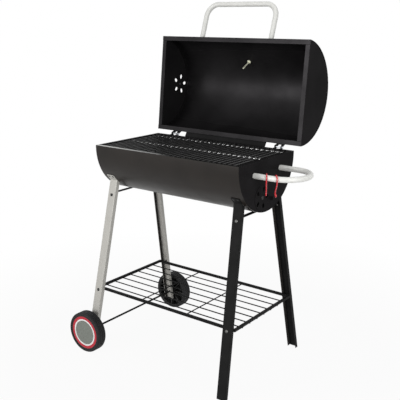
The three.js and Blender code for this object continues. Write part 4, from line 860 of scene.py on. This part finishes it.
class BARBECUE_OT_fasteners(bpy.types.Operator):
    """Bolts of the legs, screws of the handles and rivets of the air dampers"""

    bl_idname = "barbecue.fasteners"
    bl_label = "Screws, bolts and rivets"

    def execute(self, context):
        sizes = context.scene.barbecue_sizes
        for kind in ("brace", "shelf"):
            node = kind + "_bolt_front_left"
            out = flat_normal(node, -Y)
            least, most = reach(node, Vector(), out)
            master = domed_head(
                sizes.bolt_head, sizes.bolt_rise, sizes.bolt_shank, most - least - sizes.bolt_rise, 1.1 * MM)
            for end, way in DEPTHS:
                for side in SIDES:
                    node = f"{kind}_bolt_{end}_{side}"
                    # The bolts on the black legs take the lighter copy with the painted glint.
                    finish = "blackened_bolt_steel" if side == "left" else "phosphated_bolt_steel"
                    driven(master, node, flat_normal(node, Y * way), finish, sizes.bolt_rise)
            removed(master)

        node = "side_handle_screw_front"
        least, most = reach(node, Vector(), X)
        rise = sizes.screw_rise
        master = domed_head(sizes.screw_head, rise, sizes.bolt_shank, most - least - rise, 1.3 * MM)
        for end, _ in DEPTHS:
            driven(master, "side_handle_screw_" + end, -X, "bright_zinc_plating", rise)
        out = flat_normal("lid_handle_screw_left", Z)
        for side in SIDES:
            driven(master, "lid_handle_screw_" + side, -out, "bright_zinc_plating", rise)
        removed(master)

        rivets = (
            ("bowl_vent_rivet", X, "blackened_bolt_steel", "black_steel"),
            ("lid_vent_rivet", -X, "bright_zinc_plating", "zinc_steel"),
        )
        for node, way, finish, slot in rivets:
            least, most = reach(node, Vector(), way)
            low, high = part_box(node)
            head = (high.z - low.z) / 2
            rise = shank = head * 0.46
            flat, end = head * 0.8, least - most
            outline = [
                *domed(head, rise, 0, 18, 6), (shank, -rise), (shank, end + rise / 2), (flat, end + rise / 2),
                (flat, end + rise * 0.15), (head * 0.65, end), (0, end),
            ]
            rivet = lathe(node + "_domed", outline, 40)
            smooth(rivet, 35)
            settled(rivet, frame_at(tip_of(node, way), way, Y))
            placed(rivet, body_of(node), finish, slot, node)
        return {"FINISHED"}


# ---- Thermometer -------------------------------------------------------------------


def dial_print(matrix, radius, height, name):
    """Ticks and figures printed on the dial, as one piece."""
    parts = []
    first, sweep, numbers, ticks_each = 210, 240, 7, 8
    ticks = (numbers - 1) * ticks_each
    for step in range(ticks + 1):
        angle = math.radians(first - step * sweep / ticks)
        inner, width = (0.82, 0.3 * MM) if step % ticks_each else (0.76, 0.55 * MM)
        inner, outer = radius * inner, radius * 0.9
        tick = primitive("plane", "tick", size=1)
        edit(tick)
        bpy.ops.transform.resize(value=(outer - inner, width, 1))
        bpy.ops.transform.translate(value=((outer + inner) / 2, 0, height))
        parts.append(settled(tick, Matrix.Rotation(angle, 4, "Z")))
    for step in range(numbers):
        angle = math.radians(first - step * sweep / (numbers - 1))
        solo()
        bpy.ops.object.text_add()
        text = bpy.context.object
        text.data.body = str(step * 50)
        text.data.size = 4.2 * MM
        text.data.align_x = "CENTER"
        text.data.align_y = "CENTER"
        text.data.extrude = 0.01 * MM
        bpy.ops.object.convert(target="MESH")
        place = Vector((math.cos(angle), math.sin(angle), 0)) * radius * 0.6 + Z * height
        parts.append(settled(bpy.context.object, Matrix.Translation(place)))
    return settled(fused(name, parts), matrix)


class BARBECUE_OT_thermometer(bpy.types.Operator):
    """Thermometer in the lid: case and stem, printed dial, pointer, window and nut"""

    bl_idname = "barbecue.thermometer"
    bl_label = "Thermometer"

    def execute(self, context):
        joint = JOINTS["thermometer_reading"]
        seat, out = Vector(joint["pos_m"]), -Vector(joint["axis"]).normalized()
        matrix = frame_at(seat, out, X)
        stem_foot, case_top = reach("thermometer_case", seat, out)
        dial_low, dial_high = reach("thermometer_dial", seat, out)
        lens_low, lens_high = reach("thermometer_lens", seat, out)
        nut_low, nut_high = reach("thermometer_nut", seat, out)
        low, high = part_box("thermometer_case")
        radius = (high.x - low.x) / 2 - AIR
        wall, neck, stem = 2 * MM, 9 * MM, 3 * MM
        fillet, shoulder, brim, lip = MM, 3 * MM, 1.5 * MM, 0.8 * MM
        floor = dial_low - AIR
        back = floor - wall
        inner = radius - wall
        outline = [
            (0, stem_foot), *arc_outline((stem * 0.3, stem_foot + stem * 0.7), stem * 0.7, -90, 0, 4),
            (stem, AIR), (neck, AIR), (neck, back - fillet),
            *arc_outline((neck + fillet, back - fillet), fillet, 180, 90, 3),
            *arc_outline((radius - shoulder, back + shoulder), shoulder, -90, 0, 5),
            *arc_outline((radius - brim, case_top - brim), brim, 0, 90, 4),
            *arc_outline((inner - 2 * lip, case_top - lip), lip, 90, 180, 3),
            (inner - 3 * lip, lens_high + AIR / 2), (inner, lens_high + AIR / 2),
            (inner, floor), (0, floor),
        ]
        case = settled(lathe("thermometer_case_spun", outline, 64), matrix)
        smooth(case, 35)
        stood_in(case, "bright_zinc_plating", "thermometer_case")
        case.data.materials.append(bpy.data.materials["pale_yellow_zinc_flake"])
        for face in case.data.polygons:
            face.material_index = int((face.center - seat).dot(out) < 0)

        disc = inner - AIR
        dial = lathe("thermometer_dial_pressed", [
            (0, dial_low), (disc, dial_low), (disc, dial_high - 0.2 * MM),
            (disc - 0.3 * MM, dial_high), (0, dial_high),
        ], 64)
        smooth(settled(dial, matrix), 30)
        stood_in(dial, "lacquered_dial_white", "thermometer_dial")
        figures = dial_print(matrix, disc, dial_high + 0.05 * MM, "thermometer_figures")
        placed(figures, "lid", "screen_printed_ink", "white_card")

        lens = lathe("thermometer_window", [
            (0, lens_low), (disc, lens_low), (disc, lens_low + 0.7 * MM),
            (disc * 0.85, lens_high - 0.35 * MM), (disc * 0.5, lens_high - 0.05 * MM), (0, lens_high),
        ], 64)
        smooth(settled(lens, matrix), 40)
        stood_in(lens, "pressed_window_glass", "thermometer_lens")

        pointer = reworked("thermometer_needle", "pressed")
        round_edges(pointer, 0.15 * MM)
        smooth(pointer)
        stood_in(pointer, "red_plastic_dip", "thermometer_needle")

        corner, chamfer, bore = 8.5 * MM, 0.9 * MM, 3.3 * MM
        crown = corner * 0.86
        nut = lathe("thermometer_nut_chamfered", [
            (bore, nut_low), (crown, nut_low), (corner, nut_low + chamfer),
            (corner, nut_high - chamfer), (crown, nut_high), (bore, nut_high), (bore, nut_low),
        ], 6)
        round_edges(nut, 0.25 * MM)
        smooth(settled(nut, matrix), 30)
        stood_in(nut, "pale_yellow_zinc_flake", "thermometer_nut")
        return {"FINISHED"}


# ---- Grates ------------------------------------------------------------------------


class BARBECUE_OT_grates(bpy.types.Operator):
    """Cooking grate of round wires on bright cross rods, and the slotted charcoal grate"""

    bl_idname = "barbecue.grates"
    bl_label = "Grates"

    def execute(self, context):
        sizes = context.scene.barbecue_sizes
        low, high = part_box("cooking_grate")
        middle = (low + high) / 2
        wire, rod = sizes.grate_wire, sizes.grate_rod
        count = int((high.x - low.x) / sizes.grate_pitch)
        wire_z = high.z - wire
        rod_z = wire_z - wire - rod + sizes.weld
        first = bar("wire", Vector((0, low.y, wire_z)), Vector((0, high.y, wire_z)), wire, 14, 0.7 * MM)
        wires = [copy_to(first, "wire", Matrix.Translation(X * (middle.x + x)))
                 for x in spread(count, sizes.grate_pitch)]
        removed(first)
        stood_in(fused("cooking_grate_wires", wires), "dipped_wire_enamel", "cooking_grate")
        half = (high.y - low.y) / 2 - sizes.rod_inset
        rods = []
        for y in (middle.y - half, middle.y, middle.y + half):
            rods.append(bar("rod", Vector((low.x, y, rod_z)), Vector((high.x, y, rod_z)), rod, 16, 0.8 * MM))
        stood_in(fused("cooking_grate_rods", rods), "bright_drawn_rod", "cooking_grate")
        sheet_piece("charcoal_grate", "dipped_wire_enamel", sizes.edge)
        return {"FINISHED"}


# ---- Trolley -----------------------------------------------------------------------


def drum_measures():
    """The middle and the radius of the bowl's round outside."""
    low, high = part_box("bowl_shell")
    radius = (high.y - low.y) / 2
    return Vector((0, (low.y + high.y) / 2, low.z + radius)), radius


def leg_frame(node, way):
    """A leg's own frame, at the floor: Y out of its web, Z up along it. Also its width."""
    out, across = flat_normal(node, Y * way), flat_normal(node, X)
    up = across.cross(out)
    if up.z < 0:
        across, up = -across, -up
    mesh = frame["nodes"][node].data
    web = max((face for face in mesh.polygons if face.normal.dot(out) > 0.999), key=lambda face: face.area)
    level = mesh.vertices[web.vertices[0]].co.dot(out)
    sides = [point.dot(across) for point in points_of(node) if abs(point.dot(out) - level) < 0.02 * MM]
    origin = out * level + across * (min(sides) + max(sides)) / 2
    origin -= up * origin.z / up.z
    matrix = Matrix.Translation(origin) @ Matrix((across, out, up)).transposed().to_4x4()
    return matrix, max(sides) - min(sides)


def channel_outline(width, flange, sheet, fold):
    """Section of a folded channel, its web's outside on y = 0 and its flanges towards -y."""
    half, inner = width / 2, fold - sheet
    left, right = (fold - half, -fold), (half - fold, -fold)
    return [
        (-half, -flange), *arc_outline(left, fold, 180, 90, 5), *arc_outline(right, fold, 90, 0, 5),
        (half, -flange), (half - sheet, -flange),
        *arc_outline(right, inner, 0, 90, 3), *arc_outline(left, inner, 90, 180, 3),
        (sheet - half, -flange),
    ]


def leg_top(node):
    """The points of a leg's upper edge."""
    points = points_of(node)
    top = max(point.z for point in points)
    return [point for point in points if point.z > top - 0.5 * MM]


def leg(node, way, finish, sizes):
    """A folded channel cut level at its foot and to the drum at its top, with a bolted tab."""
    middle, radius = drum_measures()
    seat = radius + AIR
    matrix, width = leg_frame(node, way)
    low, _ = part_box(node)
    outline = channel_outline(width, sizes.leg_flange, sizes.leg_sheet, sizes.fold)
    channel = pressed(node + "_channel", outline, -2 * width, middle.z)
    settled(channel, matrix)
    edit(channel)
    bpy.ops.mesh.bisect(plane_co=(0, 0, low.z), plane_no=(0, 0, 1), use_fill=True, clear_inner=True)
    carved(channel, primitive(
        "cylinder", "drum_cutter", vertices=192, radius=seat, depth=2, location=middle,
        rotation=(0, math.radians(90), 0)))
    round_edges(channel, sizes.edge, 2, 50)

    rim = leg_top(node)
    left, right = min(point.x for point in rim), max(point.x for point in rim)
    top = max(rim, key=lambda point: abs(point.y - middle.y))
    end = math.degrees(math.atan2(top.z - middle.z, top.y - middle.y))
    start = end - way * math.degrees(sizes.tab_arc)
    centre = (middle.y, middle.z)
    outer = arc_outline(centre, seat + sizes.leg_sheet, start, end, 8)
    inner = arc_outline(centre, seat, end, start, 8)
    tab = pressed(node + "_tab", [*outer, *inner], left, right)
    tips = [Vector(outer[-1]), Vector(inner[0])]
    edit(tab)
    pick(tab, "EDGE", lambda e: e.verts[0].co.z == e.verts[1].co.z and all(
        min((vertex.co.xy - tip).length for tip in tips) < 0.01 * MM for vertex in e.verts))
    bpy.ops.mesh.bevel(offset=sizes.tab_corner, segments=4, affect="EDGES")
    settled(tab, Matrix((Y, Z, X)).transposed().to_4x4())
    round_edges(tab, sizes.edge, 2, 50)
    piece = fused(node + "_folded", [tab, channel])
    for vertex in piece.data.vertices:
        vertex.co.z = max(vertex.co.z, low.z)
    smooth(piece, 30)
    stood_in(piece, finish, node)
    # Painted shade: the inner faces of the flanges take a nearly black colour that stands for the shadow
    # inside the folds.
    piece.data.materials.append(bpy.data.materials["dark_primer_inside_folds"])
    across = matrix.col[0].xyz
    for face in piece.data.polygons:
        aside = abs((matrix.inverted() @ face.center).x)
        if abs(face.normal.dot(across)) > 0.9 and aside < width / 2 - sizes.leg_sheet / 2:
            face.material_index = 1


class BARBECUE_OT_trolley(bpy.types.Operator):
    """Folded legs with their tab bolts, braces and the axle"""

    bl_idname = "barbecue.trolley"
    bl_label = "Legs and braces"

    def execute(self, context):
        sizes = context.scene.barbecue_sizes
        master = domed_head(sizes.tab_bolt_head, 2.2 * MM, 2 * MM, 3 * MM, 0.9 * MM)
        for side in SIDES:
            finish = "silver_flake_paint" if side == "left" else "baked_powder_coat"
            for end, way in DEPTHS:
                node = f"leg_{end}_{side}"
                leg(node, way, finish, sizes)
                self.tab_bolts(node, way, master, sizes)
            sheet_piece("brace_" + side, "baked_powder_coat", sizes.edge)
        removed(master)
        low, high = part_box("axle")
        middle, half = (low + high) / 2, Y * (high.y - low.y) / 2
        axle = bar("axle_rod", middle - half, middle + half, (high.x - low.x) / 2, 24, 0.8 * MM)
        stood_in(axle, "baked_powder_coat", "axle")
        return {"FINISHED"}

    def tab_bolts(self, node, way, master, sizes):
        """Two bolts side by side on the tab that joins a leg to the bowl."""
        rim = leg_top(node)
        centre_x = (min(point.x for point in rim) + max(point.x for point in rim)) / 2
        axis, _ = drum_measures()
        outer = max(rim, key=lambda point: abs(point.y - axis.y))
        radius = math.hypot(outer.y - axis.y, outer.z - axis.z)
        angle = math.atan2(outer.z - axis.z, (outer.y - axis.y) * way) - sizes.tab_bolt_drop / radius
        out = Vector((0, way * math.cos(angle), math.sin(angle)))
        for number, x in enumerate(spread(2, sizes.tab_bolt_gap), 1):
            seat = Vector((centre_x + x, axis.y, axis.z)) + out * radius
            bolt = copy_to(master, f"{node}_tab_bolt_{number}", frame_at(seat, out))
            placed(bolt, "stand", "blackened_bolt_steel", "black_steel")


class BARBECUE_OT_shelf(bpy.types.Operator):
    """Lower shelf: a frame of square bar with welded wires"""

    bl_idname = "barbecue.shelf"
    bl_label = "Lower shelf"

    def execute(self, context):
        sizes = context.scene.barbecue_sizes
        low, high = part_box("lower_shelf")
        middle, across = (low + high) / 2, high - low
        square, wire = sizes.shelf_bar, sizes.shelf_wire
        under = high.z - square
        solo()
        bpy.ops.mesh.primitive_plane_add(size=1, location=(middle.x, middle.y, under))
        bpy.context.object.dimensions = (across.x, across.y, 0)
        shelf = named("shelf_frame")
        edit(shelf)
        bpy.ops.mesh.inset(thickness=square)
        bpy.ops.mesh.delete(type="FACE")
        bpy.ops.mesh.select_all(action="SELECT")
        pushed((0, 0, square))
        tidy_up()
        round_edges(shelf, 1.4 * MM, 3)
        long_z = under - wire + sizes.weld
        cross_z = long_z + 2 * wire - sizes.weld
        lines = [(Vector((low.x + MM, middle.y + y, long_z)), Vector((high.x - MM, middle.y + y, long_z)))
                 for y in spread(int((across.y - 2 * square) / sizes.shelf_pitch), sizes.shelf_pitch)]
        lines += [(Vector((middle.x + x, low.y + square / 2, cross_z)),
                   Vector((middle.x + x, high.y - square / 2, cross_z)))
                  for x in spread(int((across.x - 2 * square) / sizes.shelf_cross), sizes.shelf_cross)]
        wires = [bar("wire", start, end, wire, 14, 0.6 * MM) for start, end in lines]
        shelf = fused("lower_shelf_welded", [shelf, *wires])
        smooth(shelf, 35)
        stood_in(shelf, "baked_powder_coat", "lower_shelf")
        return {"FINISHED"}


# ---- Wheels ------------------------------------------------------------------------


class BARBECUE_OT_wheels(bpy.types.Operator):
    """Two wheels: tyre, ribbed rim, hub cap and the white and red trim rings"""

    bl_idname = "barbecue.wheels"
    bl_label = "Wheels"

    def execute(self, context):
        sizes = context.scene.barbecue_sizes
        joint = JOINTS["front_wheel_spin"]
        hub, out = Vector(joint["pos_m"]), -Y
        low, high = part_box("wheel_tyre_front")
        radius, half = (high.z - low.z) / 2, (high.y - low.y) / 2
        rim_low, rim_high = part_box("wheel_rim_front")
        rim = (rim_high.z - rim_low.z) / 2
        masters = (
            ("tyre", self.tyre(radius, half, rim + AIR, sizes), "moulded_tyre_compound", "tyre"),
            ("rim", self.rim(rim, hub, out), "black_moulded_plastic", "rim"),
            ("cap", self.cap(hub, out, sizes), "grey_moulded_plastic", "cap"),
            ("white", self.trim(hub, out, sizes, True), "white_moulded_plastic", "trim"),
            ("red", self.trim(hub, out, sizes, False), "red_moulded_plastic", "trim"),
        )
        for end, way in DEPTHS:
            place = Vector(JOINTS[end + "_wheel_spin"]["pos_m"])
            for kind, master, finish, node in masters:
                piece = copy_to(master, f"wheel_{kind}_{end}_moulded", frame_at(place, Y * way))
                stood_in(piece, finish, f"wheel_{node}_{end}")
        for _, master, _, _ in masters:
            removed(master)
        return {"FINISHED"}

    def tyre(self, radius, half, inner, sizes):
        """Tyre with three tread grooves and rounded shoulders."""
        shoulder, groove = sizes.tyre_shoulder, sizes.tread
        land = 2 * (half - shoulder) / 7
        tread = []
        for number in (-2, 0, 2):
            middle = number * land
            tread += [(radius, middle - land * 0.4), (radius - groove, middle - land * 0.25),
                      (radius - groove, middle + land * 0.25), (radius, middle + land * 0.4)]
        bead = 1.5 * MM
        outline = [
            (inner, -half + bead), (inner + bead, -half),
            *arc_outline((radius - shoulder, -half + shoulder), shoulder, -90, 0, 6), *tread,
            *arc_outline((radius - shoulder, half - shoulder), shoulder, 0, 90, 6),
            (inner + bead, half), (inner, half - bead), (inner, -half + bead),
        ]
        piece = lathe("tyre", outline, 96)
        smooth(piece, 32)
        return piece

    def rim(self, rim, hub, out):
        """Rim with a web behind the cap, a boss on the axle and tapered ribs on the inner side."""
        inboard, edge = reach("wheel_rim_front", hub, out)
        web = reach("wheel_cap_front", hub, out)[0] - AIR
        wall, bore, boss, sheet, ease = 2.8 * MM, 4.3 * MM, 13 * MM, 3 * MM, 0.6 * MM
        inner = rim - wall
        piece = lathe("rim", [
            (rim, -edge + ease), (rim, edge - ease), (rim - ease, edge), (inner + ease, edge),
            (inner, edge - ease), (inner, web), (bore, web), (bore, inboard), (boss - ease, inboard),
            (boss, inboard + ease), (boss, web - sheet), (inner, web - sheet), (inner, -edge + ease),
            (inner + ease, -edge), (rim - ease, -edge), (rim, -edge + ease),
        ], 96)
        # Each rib starts inside the boss and ends in the wall, a little short of the rim's edge.
        rib_count, thick, sink, short = 8, 4 * MM, MM, 2 * MM
        start, end, deep, shallow = boss * 0.5, inner + sink, short - edge, web - sink
        ribs = []
        for number in range(rib_count):
            rib = primitive("cube", "rib", size=1)
            edit(rib)
            bpy.ops.transform.resize(value=(end - start, thick, shallow - deep))
            bpy.ops.transform.translate(value=((end + start) / 2, 0, (shallow + deep) / 2))
            pick(rib, "VERT", lambda v: v.co.z < 0)
            bpy.ops.transform.resize(value=(1, 0.7, 1))
            round_edges(rib, 0.4 * MM)
            ribs.append(settled(rib, Matrix.Rotation(math.tau * number / rib_count, 4, "Z")))
        piece = fused("rim", [*ribs, piece])
        smooth(piece, 32)
        return piece

    def cap(self, hub, out, sizes):
        """Bare, slightly crowned hub cap, hollow over the axle's end."""
        base = reach("wheel_cap_front", hub, out)[0]
        crown = reach("wheel_tyre_front", hub, out)[1] - AIR
        edge = reach("wheel_trim_front", hub, out)[1] + sizes.trim_rise
        radius, seat, cavity, ease = sizes.cap, 9.5 * MM, base + 4.9 * MM, 0.6 * MM
        outline = [(0, cavity), (seat, cavity), (seat, base), (radius, base), (radius, edge - ease),
                   (radius - ease, edge)]
        steps, brow = 9, 0.6
        for step in range(steps):
            swell = math.sin(math.pi / 2 * (step + brow) / (steps + brow))
            outline.append((radius * 0.93 * (1 - step / steps), edge + (crown - edge) * swell))
        piece = lathe("cap", [*outline, (0, crown)], 96)
        smooth(piece, 40)
        return piece

    def trim(self, hub, out, sizes, white):
        """Inner white or outer red trim ring, the white one a little lower."""
        base, top = reach("wheel_trim_front", hub, out)
        low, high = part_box("wheel_trim_front")
        inner, outer = sizes.ring_split, (high.z - low.z) / 2
        crest = top + sizes.trim_rise
        if white:
            inner, outer, crest = sizes.cap + AIR, inner, crest - 0.3 * MM
        ease = 0.7 * MM
        piece = lathe("trim", [
            (inner, base), (outer, base), (outer, crest - ease), (outer - ease * 0.3, crest - ease * 0.3),
            (outer - ease, crest), (inner + ease, crest), (inner + ease * 0.3, crest - ease * 0.3),
            (inner, crest - ease), (inner, base),
        ], 96)
        smooth(piece, 40)
        return piece


# ---- Stage -------------------------------------------------------------------------


class BARBECUE_OT_stage(bpy.types.Operator):
    """Camera, white studio floor and surroundings, and three soft lamps"""

    bl_idname = "barbecue.stage"
    bl_label = "Stage"

    def execute(self, context):
        stage = context.scene.barbecue_stage
        scene = context.scene
        camera = bpy.data.objects.new("camera", bpy.data.cameras.new("camera"))
        camera.data.lens = stage.lens
        camera.location = stage.camera_place
        camera.rotation_euler = stage.camera_turn
        scene.collection.objects.link(camera)
        scene.camera = camera

        floor = primitive("plane", "studio_floor", size=40)
        floor.data.materials.append(self.floor_finish())

        self.surroundings(scene, stage)
        aim = Vector((0, 0, 0.7))
        lamps = (
            ("key_lamp", stage.key, 2.0, (-1.7, -4.4, 1.55)),
            ("fill_lamp", stage.fill, 1.6, (3.0, -1.6, 1.3)),
            ("top_lamp", stage.top, 2.6, (0.3, 0.2, 3.4)),
        )
        for name, watts, size, place in lamps:
            solo()
            bpy.ops.object.light_add(type="AREA", location=place)
            lamp = bpy.context.object
            lamp.name = name
            lamp.data.energy = watts
            lamp.data.size = size
            lamp.visible_camera = False
            lamp.rotation_euler = (aim - Vector(place)).to_track_quat("-Z", "Y").to_euler()
        scene.view_settings.view_transform = "Standard"
        return {"FINISHED"}

    def seen(self, tree):
        """1 for the rays that show the background: straight, mirrored or through glass."""
        rays = put(tree, "LightPath").outputs
        seen = rays["Is Camera Ray"]
        for kind in ("Is Glossy Ray", "Is Transmission Ray"):
            seen = put(tree, "Math", {0: seen, 1: rays[kind]}, operation="MAXIMUM").outputs[0]
        return seen

    def floor_finish(self):
        # Matt white studio paper: almost white, it keeps a soft trace of the shadow close to
        # the object and fades to plain white further out.
        material = bpy.data.materials.new("matt_white_studio_paper")
        material.use_nodes = True
        tree = material.node_tree
        tree.nodes.clear()
        coords = put(tree, "TexCoord").outputs["Object"]
        far = put(tree, "VectorMath", {0: coords}, operation="LENGTH").outputs["Value"]
        fade = put(tree, "MapRange", {
            "Value": far, "From Min": 0.7, "From Max": 1.6, "To Min": 0.945, "To Max": 1.0})
        fibre = put(tree, "TexNoise", {"Vector": coords, "Scale": 1 / (6 * MM), "Detail": 3}).outputs["Fac"]
        tint = put(tree, "MapRange", {"Value": fibre, "To Min": 0.48, "To Max": 0.52}).outputs["Result"]
        paper = put(tree, "BsdfDiffuse", {"Color": tint})
        glow = put(tree, "Emission", {"Color": (1, 1, 1, 1), "Strength": 1.0})
        share = put(tree, "Math", {0: self.seen(tree), 1: fade.outputs["Result"]}, operation="MULTIPLY")
        mixed = put(tree, "MixShader", {0: share.outputs[0], 1: paper.outputs[0], 2: glow.outputs[0]})
        put(tree, "OutputMaterial", {"Surface": mixed.outputs[0]})
        return material

    def surroundings(self, scene, stage):
        world = bpy.data.worlds.new("studio_surroundings")
        world.use_nodes = True
        tree = world.node_tree
        tree.nodes.clear()
        even = put(tree, "Background", {"Color": (1, 1, 1, 1), "Strength": stage.sky})
        white = put(tree, "Background", {"Color": (1, 1, 1, 1), "Strength": 1.0})
        mixed = put(tree, "MixShader", {0: self.seen(tree), 1: even.outputs[0], 2: white.outputs[0]})
        put(tree, "OutputWorld", {"Surface": mixed.outputs[0]})
        scene.world = world


class BARBECUE_PT_panel(bpy.types.Panel):
    """The barbecue's settings and building steps"""

    bl_label = "Charcoal barbecue"
    bl_space_type = "VIEW_3D"
    bl_region_type = "UI"
    bl_category = "Barbecue"

    def draw(self, context):
        for group in (
            context.scene.barbecue_sizes, context.scene.barbecue_colours, context.scene.barbecue_stage,
        ):
            column = self.layout.column(align=True)
            for name in type(group).__annotations__:
                column.prop(group, name)
        for operator in OPERATORS:
            self.layout.operator(operator.bl_idname)


GROUPS = {
    "barbecue_sizes": BarbecueSizes,
    "barbecue_colours": BarbecueColours,
    "barbecue_stage": BarbecueStage,
}
OPERATORS = (
    BARBECUE_OT_finishes,
    BARBECUE_OT_drum,
    BARBECUE_OT_hinges,
    BARBECUE_OT_handles,
    BARBECUE_OT_hooks,
    BARBECUE_OT_fasteners,
    BARBECUE_OT_thermometer,
    BARBECUE_OT_grates,
    BARBECUE_OT_trolley,
    BARBECUE_OT_shelf,
    BARBECUE_OT_wheels,
    BARBECUE_OT_stage,
)


def register():
    for group in GROUPS.values():
        bpy.utils.register_class(group)
    for name, group in GROUPS.items():
        setattr(bpy.types.Scene, name, bpy.props.PointerProperty(type=group))
    for item in (*OPERATORS, BARBECUE_PT_panel):
        bpy.utils.register_class(item)


def unregister():
    for item in (BARBECUE_PT_panel, *reversed(OPERATORS)):
        bpy.utils.unregister_class(item)
    for name, group in GROUPS.items():
        delattr(bpy.types.Scene, name)
        bpy.utils.unregister_class(group)


def main():
    register()
    for operator in OPERATORS:
        group, action = operator.bl_idname.split(".")
        getattr(getattr(bpy.ops, group), action)()


if __name__ == "__main__":
    main()
